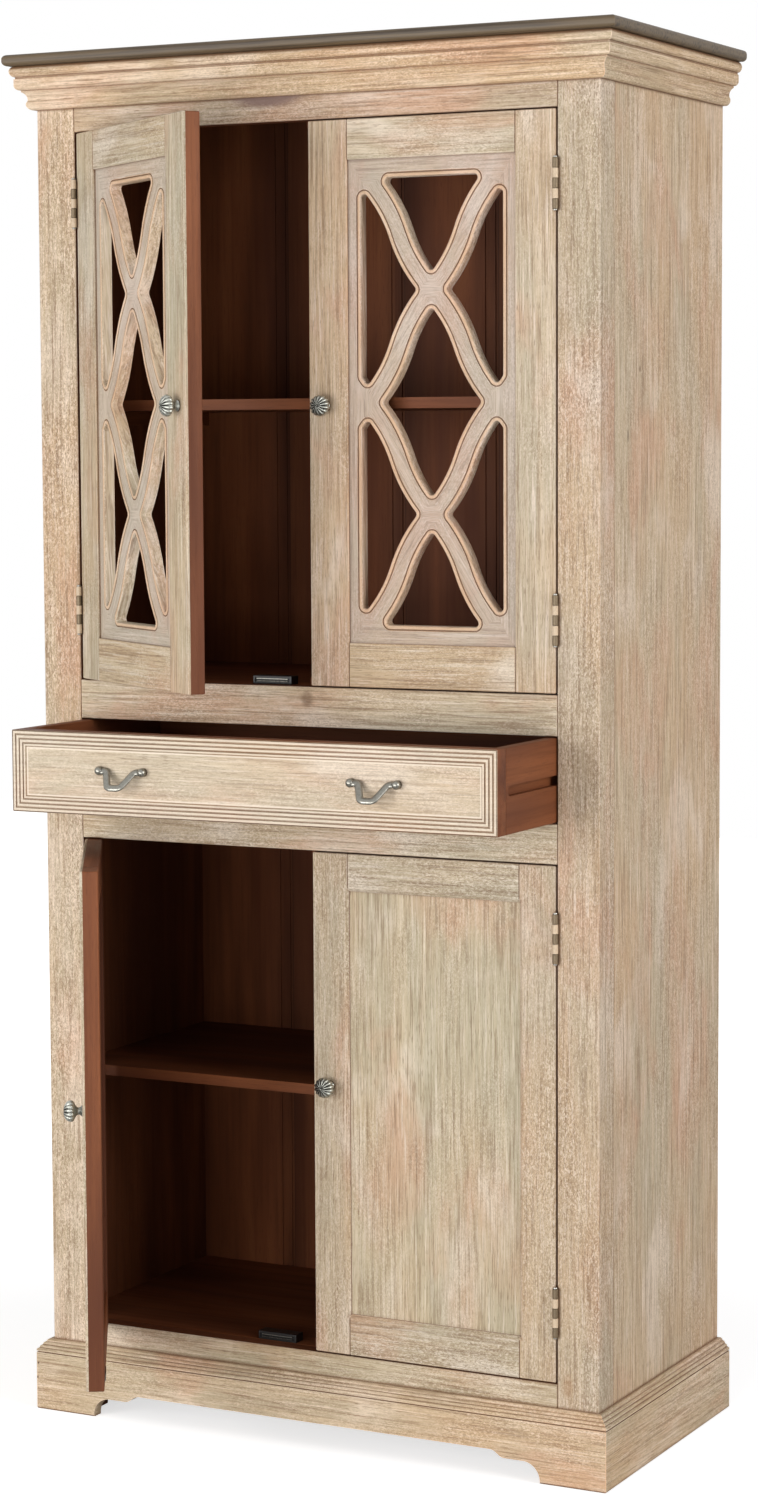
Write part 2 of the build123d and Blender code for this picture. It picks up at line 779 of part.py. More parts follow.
# ================================================================ drawer
drawer_half = half_opening - drawer_gap
drawer_low = drawer_sill + drawer_gap
drawer_high = drawer_head - drawer_gap
drawer_bottom_low = drawer_low + drawer_bottom_lift
drawer_bottom_high = drawer_bottom_low + drawer_bottom_thickness


def ring_cut(inset, width, depth):
    """A shallow rectangular channel round the drawer front, inset from its edges."""
    wide = 2 * (drawer_half - inset)
    tall = drawer_high - drawer_low - 2 * inset
    ring = Rectangle(wide, tall) - Rectangle(wide - 2 * width, tall - 2 * width)
    plane = Plane(origin=(0, depth, (drawer_low + drawer_high) / 2), x_dir=(1, 0, 0), z_dir=(0, -1, 0))
    return extrude(plane * ring, amount=depth)


def drawer_front():
    """The moulded front: a sunk field inside a border of flat reeds, grooved behind for the bottom."""
    front = board(-drawer_half, drawer_half, 0, drawer_front_thickness, drawer_low, drawer_high)
    field_half = drawer_half - drawer_border
    front -= block(-field_half, field_half, 0, drawer_field_depth, drawer_low + drawer_border,
                   drawer_high - drawer_border)
    groove_step = drawer_bead_width + drawer_bead_groove
    for number in range(drawer_bead_count):
        inset = drawer_bead_width + number * groove_step
        front -= ring_cut(inset, drawer_bead_groove, drawer_bead_groove_depth)
    groove_half = drawer_half - drawer_side_thickness + drawer_bottom_tongue
    front -= block(-groove_half, groove_half, drawer_front_thickness - drawer_bottom_tongue,
                   drawer_front_thickness, drawer_bottom_low, drawer_bottom_high)
    return front


def drawer_side():
    """Right-hand side, with a stopped groove outside for the runner and one inside for the bottom."""
    inner = drawer_half - drawer_side_thickness
    side = board(inner, drawer_half, drawer_front_thickness, drawer_depth, drawer_low, drawer_high)
    groove_front = drawer_front_thickness + drawer_groove_start
    half_groove = drawer_groove_height / 2
    run = block(drawer_half - drawer_groove_depth, drawer_half, groove_front + half_groove,
                drawer_depth, runner_level - half_groove, runner_level + half_groove)
    rounded_end = Cylinder(half_groove, drawer_groove_depth)
    rounded_end = Pos(drawer_half - drawer_groove_depth / 2, groove_front + half_groove,
                      runner_level) * Rot(0, 90, 0) * rounded_end
    side -= run + rounded_end
    side -= block(inner, inner + drawer_bottom_tongue, drawer_front_thickness, drawer_depth,
                  drawer_bottom_low, drawer_bottom_high)
    return side


right_drawer_side = drawer_side()
drawer_inner = drawer_half - drawer_side_thickness
drawer_back = board(-drawer_inner, drawer_inner, drawer_depth - drawer_back_thickness, drawer_depth,
                    drawer_bottom_high, drawer_high - drawer_back_drop)
bottom_reach = drawer_inner + drawer_bottom_tongue - panel_expansion_gap / 2
drawer_bottom = block(-bottom_reach, bottom_reach,
                      drawer_front_thickness - drawer_bottom_tongue + panel_expansion_gap / 2,
                      drawer_depth, drawer_bottom_low, drawer_bottom_high)


def drawer_pull():
    """A cast swan-neck pull: a flat strap that loops down and forward between two turned balls."""
    half_span = pull_span / 2
    loop_length = math.hypot(pull_drop, pull_reach)
    bend = half_span - pull_shoulder
    corners = [(half_span, 0), (bend, 0), (bend - pull_loop_taper, loop_length)]
    corners += [(-x, y) for x, y in reversed(corners)]
    radii = [pull_shoulder_radius, pull_loop_radius, pull_loop_radius, pull_shoulder_radius]
    loop_plane = Plane(origin=(0, -pull_ball_stand, 0), x_dir=(1, 0, 0),
                       z_dir=(0, pull_drop, -pull_reach))
    path = loop_plane * FilletPolyline(*corners, radius=radii)
    section = Plane(origin=path @ 0, x_dir=loop_plane.z_dir, z_dir=path % 0)
    pull = sweep(section * Rectangle(pull_strap_thickness, pull_strap_width), path=path)
    shoulder = pull_ball_radius * math.sin(math.radians(60))
    half_ball = pull_ball_radius / 2
    ball = flat_sided([(pull_post_radius, 0), (pull_post_radius, pull_ball_stand - shoulder),
                       (shoulder, pull_ball_stand - half_ball), (pull_ball_radius, pull_ball_stand),
                       (shoulder, pull_ball_stand + half_ball), (half_ball, pull_ball_stand + shoulder)],
                      pull_ball_flat_count)
    for side in (-1, 1):
        pull += Pos(side * half_span, 0, 0) * Rot(90, 0, 0) * ball
    return pull


pull_height = drawer_high - pull_drop_from_top
pulls = []
for side in (-1, 1):
    pulls.append(Pos(side * pull_spacing / 2, drawer_field_depth, pull_height) * drawer_pull())

drawer_parts = {
    "drawer_front": drawer_front(),
    "drawer_right_side": right_drawer_side,
    "drawer_left_side": mirrored(right_drawer_side),
    "drawer_back": drawer_back,
    "drawer_bottom": drawer_bottom,
    "drawer_pulls": Compound(pulls),
}
for drawer_name, shape in drawer_parts.items():
    parts[drawer_name] = Pos(0, -drawer_rest_travel, 0) * shape

# ================================================================ export
os.makedirs("parts", exist_ok=True)
for part_name, shape in parts.items():
    export_step(Pos(0, -origin_depth, 0) * shape, f"parts/{part_name}.step")
print(len(parts), "nodes")
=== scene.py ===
# %% [markdown]
# # Dressing a trastero cabinet
# The cabinet is a tall cupboard of hard, open-pored wood: two lattice doors above, a wide drawer and
# two panelled doors below. Its construction is already there as named nodes, at real size and in
# metres. These cells give each node its finish, and model again, by hand, the pieces whose shape the
# eye lingers on: the fretted panels, the mouldings, the drawer front, the knobs, pulls and hinges.

# %% Load the frame and keep its box
import json
import math

import bmesh
import bpy
from mathutils import Matrix, Vector


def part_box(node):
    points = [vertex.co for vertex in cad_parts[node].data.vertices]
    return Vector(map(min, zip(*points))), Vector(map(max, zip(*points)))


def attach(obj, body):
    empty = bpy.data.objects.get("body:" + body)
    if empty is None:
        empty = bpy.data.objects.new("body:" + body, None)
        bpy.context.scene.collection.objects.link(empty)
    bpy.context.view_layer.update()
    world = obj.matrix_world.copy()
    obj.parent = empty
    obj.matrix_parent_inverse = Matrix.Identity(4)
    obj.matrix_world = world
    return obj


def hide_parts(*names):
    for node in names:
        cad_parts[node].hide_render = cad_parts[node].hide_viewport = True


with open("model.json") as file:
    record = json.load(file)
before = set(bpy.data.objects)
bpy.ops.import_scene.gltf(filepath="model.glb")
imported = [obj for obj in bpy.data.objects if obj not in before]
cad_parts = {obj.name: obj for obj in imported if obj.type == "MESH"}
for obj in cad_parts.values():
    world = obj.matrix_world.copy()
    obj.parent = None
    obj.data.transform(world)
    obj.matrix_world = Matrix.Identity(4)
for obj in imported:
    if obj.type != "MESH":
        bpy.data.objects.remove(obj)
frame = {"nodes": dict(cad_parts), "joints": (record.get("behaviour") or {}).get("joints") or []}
for start_up in ("Cube", "Light", "Camera"):
    if start_up in bpy.data.objects:
        bpy.data.objects.remove(bpy.data.objects[start_up])
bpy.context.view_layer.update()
nodes = frame["nodes"]

# %% [markdown]
# Nothing is left of the scene that Blender starts with, and nothing is selected. The look of the
# picture is kept plain: the Standard view transform shows a colour as it is written.

# %% A clear start
bpy.ops.object.select_all(action="DESELECT")
bpy.context.scene.view_settings.view_transform = "Standard"

# %% [markdown]
# The camera stands at eye height, well to the right of the cabinet, with a long lens. Its direction is
# given as a yaw, a pitch and a slight roll, because those are the angles a photographer sets on a
# tripod head.

# %% The camera
camera_place = Vector((2.225096, -4.170052, 1.431537))
camera_yaw = math.radians(-27.2495)
camera_pitch = math.radians(-5.2915)
camera_roll = math.radians(-0.2805)
lens_length = 80.553

ahead = Vector((math.sin(camera_yaw) * math.cos(camera_pitch), math.cos(camera_yaw) * math.cos(camera_pitch),
                math.sin(camera_pitch)))
level_right = Vector((math.cos(camera_yaw), -math.sin(camera_yaw), 0))
level_up = level_right.cross(ahead)
camera_right = math.cos(camera_roll) * level_right + math.sin(camera_roll) * level_up
camera_up = math.cos(camera_roll) * level_up - math.sin(camera_roll) * level_right

camera_data = bpy.data.cameras.new("camera")
camera_data.lens = lens_length
camera = bpy.data.objects.new("camera", camera_data)
bpy.context.scene.collection.objects.link(camera)
turn = Matrix((camera_right, camera_up, -ahead)).transposed()
camera.matrix_world = Matrix.Translation(camera_place) @ turn.to_4x4()
bpy.context.scene.camera = camera
print("camera", round((camera_place - Vector((0, 0, 1))).length, 2), "m from the cabinet")

# %% [markdown]
# Colours are written as a painter names them, from 0 to 255 for red, green and blue. Blender's sockets
# want linear light, so one helper does the sum.

# %% Colours
def paint(red, green, blue):
    """A colour written from 0 to 255, as the linear colour a socket takes."""
    shares = [value / 255 for value in (red, green, blue)]
    linear = [((share + 0.055) / 1.055) ** 2.4 if share > 0.04045 else share / 12.92 for share in shares]
    return (*linear, 1.0)


cream = paint(216, 197, 166)
tan = paint(200, 173, 139)
sage_grey = paint(188, 176, 150)
rosy_brown = paint(204, 166, 137)
pore_brown = paint(126, 97, 70)
lime_and_highlight_white = paint(236, 222, 204)
wear_and_highlight_peach = paint(226, 186, 150)
glaze_and_shade_brown = paint(114, 82, 55)
print("lime white is", [round(value, 3) for value in lime_and_highlight_white])

# %% [markdown]
# The room, the floor and every finish start from the same few nodes, so they get short names here.
# `grain_noise` is the main one for wood: noise in a space that is squeezed along the grain, so that its
# blots become streaks.

# %% Short names for nodes
def add(tree, kind, **settings):
    """A new node with its inputs or its own properties set by name (underscores stand for spaces)."""
    made = tree.nodes.new("ShaderNode" + kind)
    for name, value in settings.items():
        socket = name.replace("_", " ")
        if socket in made.inputs:
            made.inputs[socket].default_value = value
        else:
            setattr(made, name, value)
    return made


def link(tree, source, target):
    """Joins an output to an input."""
    tree.links.new(source, target)


def new_material(name):
    """A new material, with its node tree and its surface shader."""
    material = bpy.data.materials.new(name)
    material.use_nodes = True
    return material, material.node_tree, material.node_tree.nodes["Principled BSDF"]


def new_group(name, inputs, outputs):
    """An empty node group with named sockets; gives the group, its input node and its output node."""
    group = bpy.data.node_groups.new(name, "ShaderNodeTree")
    for in_out, sockets in (("INPUT", inputs), ("OUTPUT", outputs)):
        for socket, kind in sockets:
            group.interface.new_socket(socket, in_out=in_out, socket_type="NodeSocket" + kind)
    return group, group.nodes.new("NodeGroupInput"), group.nodes.new("NodeGroupOutput")


def ranged(tree, value, low, high):
    """A value between 0 and 1, stretched to run from low to high."""
    stretched = add(tree, "MapRange", To_Min=low, To_Max=high)
    link(tree, value, stretched.inputs["Value"])
    return stretched.outputs["Result"]


def bumped(tree, surface, height, strength, distance):
    """Gives a surface relief from a height."""
    bump = add(tree, "Bump", Strength=strength, Distance=distance)
    link(tree, height, bump.inputs["Height"])
    link(tree, bump.outputs[0], surface.inputs["Normal"])


def grain_noise(tree, place, across, along, detail=2.0, roughness=0.5, distortion=0.0, seed=0.0):
    """Noise with so many blots to the metre across the grain (X, Y) and along it (Z)."""
    squeezed = add(tree, "VectorMath", operation="MULTIPLY_ADD")
    squeezed.inputs[1].default_value = (across, across, along)
    squeezed.inputs[2].default_value = (seed, 1.7 * seed, 2.3 * seed)
    link(tree, place, squeezed.inputs[0])
    noise = add(tree, "TexNoise", Scale=1.0, Detail=detail, Roughness=roughness, Distortion=distortion)
    link(tree, squeezed.outputs[0], noise.inputs["Vector"])
    return noise.outputs["Fac"]


def between(tree, value, low, high, top=1.0):
    """0 below low, top above high and a smooth slope in between; low may be the larger."""
    slope = add(tree, "MapRange", interpolation_type="SMOOTHSTEP", From_Min=low, From_Max=high, To_Max=top)
    link(tree, value, slope.inputs["Value"])
    return slope.outputs["Result"]


def arithmetic(tree, operation, first, second):
    """One sum of two sockets, or of a socket and a number."""
    sum_node = add(tree, "Math", operation=operation)
    for socket, value in zip(sum_node.inputs, (first, second)):
        if isinstance(value, (int, float)):
            socket.default_value = value
        else:
            link(tree, value, socket)
    return sum_node.outputs[0]


def blend_colour(tree, factor, first, second):
    """The colour first turning into second as the factor goes from 0 to 1."""
    mix = add(tree, "Mix", data_type="RGBA")
    link(tree, factor, mix.inputs["Factor"])
    for socket, value in ((mix.inputs[6], first), (mix.inputs[7], second)):
        if isinstance(value, tuple):
            socket.default_value = value
        else:
            link(tree, value, socket)
    return mix.outputs[2]


def layered(tree, colour, layers, share=None):
    """Lays colours over a first one; a layer is a mask, its two limits, its strength and its colour."""
    for mask, low, high, strength, over in layers:
        factor = between(tree, mask, low, high, strength)
        if share is not None:
            factor = arithmetic(tree, "MULTIPLY", factor, share)
        colour = blend_colour(tree, factor, colour, over)
    return colour


print("node helpers are ready")

# %% [markdown]
# A soft studio of three large lamps: one on the left and one low in front light the front almost
# without shadows, one on the right lights the side, and a grey-white room gives the rest. Together they
# light a front at about full strength, where a colour renders as it is written. What the camera sees
# of the room, straight or in a shiny surface, is white.

# %% The lamps and the room
def add_lamp(name, place, target, size, power):
    """A square soft box that looks at a point."""
    data = bpy.data.lights.new(name, "AREA")
    data.shape = "SQUARE"
    data.size = size
    data.energy = power
    lamp = bpy.data.objects.new(name, data)
    bpy.context.scene.collection.objects.link(lamp)
    lamp.location = place
    aim = Vector(target) - Vector(place)
    lamp.rotation_euler = aim.to_track_quat("-Z", "Y").to_euler()
    return lamp


add_lamp("key_lamp", (-2.2, -4.6, 1.4), (0, 0, 1.0), 2.4, 124)
add_lamp("side_lamp", (5.2, -1.0, 2.4), (0, 0, 1.2), 2.6, 150)
add_lamp("low_lamp", (0.6, -4.6, 0.5), (0, 0, 1.0), 2.0, 84)

room_strength = 0.27
room = bpy.data.worlds.new("room")
bpy.context.scene.world = room
room.use_nodes = True
tree = room.node_tree
tree.nodes.clear()
path = add(tree, "LightPath")
seen = arithmetic(tree, "MAXIMUM", path.outputs["Is Camera Ray"], path.outputs["Is Glossy Ray"])
seen = arithmetic(tree, "MAXIMUM", seen, path.outputs["Is Transmission Ray"])
white_room = add(tree, "Background", Color=(1, 1, 1, 1))
link(tree, ranged(tree, seen, room_strength, 1.0), white_room.inputs["Strength"])
room_output = add(tree, "OutputWorld")
link(tree, white_room.outputs[0], room_output.inputs["Surface"])
print("three lamps and a room of strength", room_strength)

# %% [markdown]
# The floor is a plain white sheet. The camera sees its white a little lifted, and the more the further
# away, so that it runs into the white of the room, while the cabinet still leaves its soft shadow on it.

# %% The floor
floor_size = 14
floor_white = 0.8
lift_near = 0.66
lift_far = 1.0
lift_begins = 0.8
lift_ends = 2.2
bpy.ops.mesh.primitive_plane_add(size=floor_size, location=(0, 0, 0))
floor = bpy.context.active_object
floor.name = "floor"
floor_paper, tree, surface = new_material("floor_paper")
surface.inputs["Base Color"].default_value = (floor_white, floor_white, floor_white, 1)
surface.inputs["Roughness"].default_value = 1.0
surface.inputs["Specular IOR Level"].default_value = 0.0
spot = add(tree, "TexCoord")
from_middle = add(tree, "VectorMath", operation="LENGTH")
link(tree, spot.outputs["Object"], from_middle.inputs[0])
lift_there = add(tree, "MapRange", interpolation_type="SMOOTHSTEP", From_Min=lift_begins, From_Max=lift_ends,
                 To_Min=lift_near, To_Max=lift_far)
link(tree, from_middle.outputs["Value"], lift_there.inputs["Value"])
eye = add(tree, "LightPath")
lift = add(tree, "Emission")
lift_strength = arithmetic(tree, "MULTIPLY", eye.outputs["Is Camera Ray"], lift_there.outputs["Result"])
link(tree, lift_strength, lift.inputs["Strength"])
both = add(tree, "AddShader")
link(tree, surface.outputs[0], both.inputs[0])
link(tree, lift.outputs[0], both.inputs[1])
link(tree, both.outputs[0], tree.nodes["Material Output"].inputs["Surface"])
floor.data.materials.append(floor_paper)
print("floor of", floor.dimensions.x, "m")

# %% [markdown]
# Limed wood is made by brushing open-pored timber, rubbing a white paste into the pores and wiping the
# rest off. So there are four scales of colour: broad bands of cream, tan and grey-green that follow the
# growth rings, streaks a few millimetres wide, pores that are dark where they stayed empty and white
# where they were filled, and large patches where the wiping went down to rosy bare wood. They are kept
# in one node group, and each board reads it at its own place, so no two boards are alike.

# %% Limed wood as a node group
limed_inputs = (("Place", "Vector"), ("Grain", "Vector"), ("Wear", "Float"), ("Hollow", "Float"),
                ("Curl", "Float"))
finish_outputs = (("Colour", "Color"), ("Roughness", "Float"), ("Height", "Float"))
limed_group, group_in, group_out = new_group("limed_wood_grain", limed_inputs, finish_outputs)
tree = limed_group
place = group_in.outputs["Place"]
grain = group_in.outputs["Grain"]

clouds = grain_noise(tree, place, 5.5, 2.0, detail=3, roughness=0.55, distortion=0.3)
peach_clouds = grain_noise(tree, place, 7.5, 3.2, detail=4, roughness=0.6, distortion=0.4, seed=11)
white_clouds = grain_noise(tree, place, 9.0, 4.5, detail=4, roughness=0.6, distortion=0.4, seed=23)
bands = grain_noise(tree, grain, 60, 3.0, detail=3, roughness=0.6, distortion=0.5, seed=5)
streaks = grain_noise(tree, grain, 230, 7.0, detail=4, roughness=0.65, distortion=0.2, seed=7)
hairs = grain_noise(tree, grain, 620, 14, detail=2, roughness=0.6, seed=3)
pores = grain_noise(tree, grain, 1000, 60, detail=2, seed=13)
stipple = grain_noise(tree, grain, 460, 200, detail=2, roughness=0.65, distortion=0.8, seed=17)
curls = grain_noise(tree, grain, 290, 105, detail=2, roughness=0.6, distortion=1.4, seed=31)
busy = grain_noise(tree, place, 13, 5, detail=2, seed=29)

colour = blend_colour(tree, between(tree, clouds, 0.36, 0.64), tan, sage_grey)
colour = layered(tree, colour, (
    (bands, 0.40, 0.70, 0.60, cream),
    (peach_clouds, 0.48, 0.68, 0.85, rosy_brown),
    (white_clouds, 0.50, 0.70, 0.60, lime_and_highlight_white),
    (streaks, 0.51, 0.66, 0.55, pore_brown),
    (streaks, 0.46, 0.30, 0.62, lime_and_highlight_white),
    (hairs, 0.53, 0.68, 0.42, pore_brown),
    (hairs, 0.45, 0.30, 0.42, lime_and_highlight_white),
))
open_pores = arithmetic(tree, "MULTIPLY", between(tree, pores, 0.58, 0.68), between(tree, busy, 0.40, 0.62))
colour = blend_colour(tree, arithmetic(tree, "MULTIPLY", open_pores, 0.55), colour, pore_brown)

curl_share = arithmetic(tree, "ADD", group_in.outputs["Curl"], between(tree, busy, 0.62, 0.36, 0.5))
ridges = arithmetic(tree, "ABSOLUTE", arithmetic(tree, "SUBTRACT", curls, 0.5), 0)
colour = layered(tree, colour, (
    (ridges, 0.055, 0.0, 0.65, pore_brown),
    (ridges, 0.09, 0.18, 0.6, lime_and_highlight_white),
    (stipple, 0.52, 0.66, 0.5, pore_brown),
    (stipple, 0.46, 0.34, 0.5, lime_and_highlight_white),
), curl_share)
worn = arithmetic(tree, "MULTIPLY", group_in.outputs["Wear"], between(tree, stipple, 0.30, 0.55))
worn_colour = blend_colour(tree, between(tree, clouds, 0.4, 0.6), wear_and_highlight_peach, lime_and_highlight_white)
colour = blend_colour(tree, worn, colour, worn_colour)
# Hollows and gaps turn brown: partly real glaze, partly painted shade.
colour = blend_colour(tree, group_in.outputs["Hollow"], colour, glaze_and_shade_brown)
link(tree, colour, group_out.inputs["Colour"])

link(tree, ranged(tree, streaks, 0.78, 0.55), group_out.inputs["Roughness"])

height = arithmetic(tree, "MULTIPLY", streaks, 0.6)
height = arithmetic(tree, "ADD", height, arithmetic(tree, "MULTIPLY", hairs, 0.4))
height = arithmetic(tree, "SUBTRACT", height, arithmetic(tree, "MULTIPLY", open_pores, 0.8))
height = arithmetic(tree, "ADD", height, arithmetic(tree, "MULTIPLY", stipple, 0.3))
link(tree, height, group_out.inputs["Height"])
print("limed wood uses", len(tree.nodes), "nodes")

# %% [markdown]
# The inside of the cabinet, the edges of the doors and the drawer box are stained reddish brown under a
# thin lacquer of low sheen. The stain sinks in deeper along some bands than others, and is darker over
# the pores.

# %% Stained wood as a node group
stain_red = paint(130, 76, 45)
stain_dark = paint(88, 47, 28)
stain_light = paint(158, 98, 60)
joint_and_shade_dark = paint(38, 20, 12)
stain_group, group_in, group_out = new_group("stained_wood_grain", (("Place", "Vector"),), finish_outputs)
tree = stain_group
place = group_in.outputs["Place"]
clouds = grain_noise(tree, place, 9, 1.2, detail=3, roughness=0.55, distortion=0.25)
bands = grain_noise(tree, place, 42, 1.1, detail=3, roughness=0.6, distortion=0.2, seed=3)
streaks = grain_noise(tree, place, 150, 5, detail=2)
pores = grain_noise(tree, place, 800, 40, detail=1)
colour = blend_colour(tree, between(tree, clouds, 0.32, 0.66), stain_dark, stain_red)
colour = layered(tree, colour, (
    (clouds, 0.56, 0.76, 0.45, stain_light),
    (bands, 0.48, 0.70, 0.45, stain_dark),
    (streaks, 0.48, 0.74, 0.35, stain_dark),
    (pores, 0.60, 0.70, 0.4, stain_dark),
))
link(tree, colour, group_out.inputs["Colour"])
link(tree, ranged(tree, streaks, 0.48, 0.68), group_out.inputs["Roughness"])
link(tree, arithmetic(tree, "MULTIPLY", streaks, 0.3), group_out.inputs["Height"])
print("stained wood uses", len(tree.nodes), "nodes")

# %% [markdown]
# The doors stand open, and the frame's joints say how far: the lower end of a hinge's range is minus
# the angle at which the door is stored. The finishes need it next, and the modelling further on.

# %% The doors' hinges and angles
hinge_places = {joint["child"]: Vector(joint["pos_m"]) for joint in frame["joints"] if "pos_m" in joint}
doors = tuple(hinge_places)
door_angles = {}
for joint in frame["joints"]:
    if joint["child"].endswith("_door"):
        door_angles[joint["child"]] = math.radians(-joint["range_deg"][0])
print({door: round(math.degrees(angle), 1) for door, angle in door_angles.items()})

# %% [markdown]
# A board's material turns the grain to run along it, gives it its own stretch of tree, and says which
# of its faces are limed: those that look in a given direction. The rest of the board is stained. The
# directions are read in the board's own space, so they hold when a door swings. A Bevel node compares
# the smooth normal with the true one to find worn edges, and ambient occlusion finds the hollows and
# the gaps next to other parts, which are turned brown: partly glaze left in them, partly painted shade.

# %% A material for one board
grain_turns = {
    "x": (0.0, math.pi / 2, 0.0),
    "y": (math.pi / 2, 0.0, 0.0),
    "z": (0.0, 0.0, 0.0),
}
every_side = ((0, 0, 0),)
front_side = ((0, -1, 0),)
wear_radius = 0.0022
pore_depth = 0.0004
limed_lip_start = 0.0034
limed_lip_end = 0.0042
limed_softness = 0.14
door_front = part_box("upper_right_door_stiles")[0][1]


def marked(tree, place, colour, middle, reach, mark_colour, strength):
    """A soft-edged spot of another colour; reach gives its half-sizes along X, Y and Z in metres."""
    soft_from, soft_to = 1.0, 0.35
    away = add(tree, "VectorMath", operation="SUBTRACT")
    away.inputs[1].default_value = middle
    link(tree, place, away.inputs[0])
    shrunk = add(tree, "VectorMath", operation="DIVIDE")
    shrunk.inputs[1].default_value = reach
    link(tree, away.outputs[0], shrunk.inputs[0])
    distance = add(tree, "VectorMath", operation="LENGTH")
    link(tree, shrunk.outputs[0], distance.inputs[0])
    in_spot = between(tree, distance.outputs["Value"], soft_from, soft_to, strength)
    return blend_colour(tree, in_spot, colour, mark_colour)


def board_material(name, grain, shift, limed_sides=every_side, door=None, own_grain=None, limed_from=0.18,
                   tone=(1, 1, 1), curl=0.2, hollow_reach=0.005, marks=(), lines=()):
    """Limed wood on the sides named, stained wood on the others, with the grain along one axis.

    shift picks the stretch of tree, door names the door that the board swings with, own_grain names the
    attribute that the streaks follow, tone multiplies the colour, curl is how wild the grain is, marks
    are soft spots in metres, and lines are stripes at a noted distance in millimetres.
    """
    material, tree, surface = new_material(name)
    here = add(tree, "TexCoord")
    straight = add(tree, "Mapping")
    if door:
        unswing = Matrix.Rotation(door_angles[door], 4, "Z")
        straight.inputs["Rotation"].default_value = (0, 0, door_angles[door])
        straight.inputs["Location"].default_value = hinge_places[door] - unswing @ hinge_places[door]
    link(tree, here.outputs["Object"], straight.inputs["Vector"])
    along = add(tree, "Mapping")
    along.inputs["Rotation"].default_value = grain_turns[grain]
    own_stretch = (0.37 * shift, 1.91 * shift, 2.73 * shift)
    along.inputs["Location"].default_value = own_stretch
    link(tree, straight.outputs[0], along.inputs["Vector"])
    streaks_along = along
    if own_grain:
        followed = add(tree, "Attribute", attribute_name=own_grain)
        streaks_along = add(tree, "Mapping")
        streaks_along.inputs["Location"].default_value = own_stretch
        link(tree, followed.outputs["Vector"], streaks_along.inputs["Vector"])

    geometry = add(tree, "NewGeometry")
    rounded = add(tree, "Bevel", samples=4, Radius=wear_radius)
    flatness = add(tree, "VectorMath", operation="DOT_PRODUCT")
    link(tree, rounded.outputs[0], flatness.inputs[0])
    link(tree, geometry.outputs["Normal"], flatness.inputs[1])
    wear = between(tree, flatness.outputs["Value"], 0.985, 0.80, 0.85)
    # Ambient occlusion, neighbours included, marks hollows and gaps for glaze and painted shade.
    open_air = add(tree, "AmbientOcclusion", samples=6, Distance=hollow_reach)
    hollow = between(tree, open_air.outputs["AO"], 0.95, 0.50, 0.9)

    limed = add(tree, "Group", node_tree=limed_group)
    link(tree, along.outputs[0], limed.inputs["Place"])
    link(tree, streaks_along.outputs[0], limed.inputs["Grain"])
    link(tree, hollow, limed.inputs["Hollow"])
    link(tree, wear, limed.inputs["Wear"])
    limed.inputs["Curl"].default_value = curl
    colour = add(tree, "VectorMath", operation="MULTIPLY")
    colour.inputs[1].default_value = tone
    link(tree, limed.outputs["Colour"], colour.inputs[0])
    colour = colour.outputs["Vector"]
    for attribute, middle, half_width, line_colour, strength in lines:
        distance = add(tree, "Attribute", attribute_name=attribute).outputs["Fac"]
        off_line = arithmetic(tree, "ABSOLUTE", arithmetic(tree, "SUBTRACT", distance, middle), 0.0)
        on_line = between(tree, off_line, half_width, 0.4 * half_width, strength)
        colour = blend_colour(tree, on_line, colour, line_colour)
    for middle, reach, mark_colour, strength in marks:
        colour = marked(tree, straight.outputs[0], colour, middle, reach, mark_colour, strength)
    rough = limed.outputs["Roughness"]
    height = limed.outputs["Height"]
    if limed_sides is not every_side:
        facing = None
        for side in limed_sides:
            toward = add(tree, "VectorMath", operation="DOT_PRODUCT")
            toward.inputs[1].default_value = side
            link(tree, here.outputs["Normal"], toward.inputs[0])
            share = toward.outputs["Value"]
            facing = share if facing is None else arithmetic(tree, "MAXIMUM", facing, share)
        if door:
            closed = add(tree, "SeparateXYZ")
            link(tree, straight.outputs[0], closed.inputs[0])
            near_front = between(tree, closed.outputs["Y"], door_front + limed_lip_end,
                                 door_front + limed_lip_start, 2.0)
            facing = arithmetic(tree, "MAXIMUM", facing, arithmetic(tree, "SUBTRACT", near_front, 1.0))
        limed_share = between(tree, facing, limed_from, limed_from + limed_softness)
        stained = add(tree, "Group", node_tree=stain_group)
        link(tree, along.outputs[0], stained.inputs["Place"])
        colour = blend_colour(tree, limed_share, stained.outputs["Colour"], colour)
        rough_mix = add(tree, "Mix", data_type="FLOAT")
        link(tree, limed_share, rough_mix.inputs["Factor"])
        link(tree, stained.outputs["Roughness"], rough_mix.inputs[2])
        link(tree, rough, rough_mix.inputs[3])
        rough = rough_mix.outputs[0]
    link(tree, colour, surface.inputs["Base Color"])
    link(tree, rough, surface.inputs["Roughness"])
    surface.inputs["Specular IOR Level"].default_value = 0.25
    bumped(tree, surface, height, 0.7, pore_depth)
    return material


# Near the back boards' joints the stain is darkened as painted shade, and back_painted_light lightens the
# whole back as painted light.
shade_reach = 0.055
joint_width = 0.0012
joint_core = 0.0004
back_painted_light = 1.35
board_step = (3.7, 2.3, 5.1)


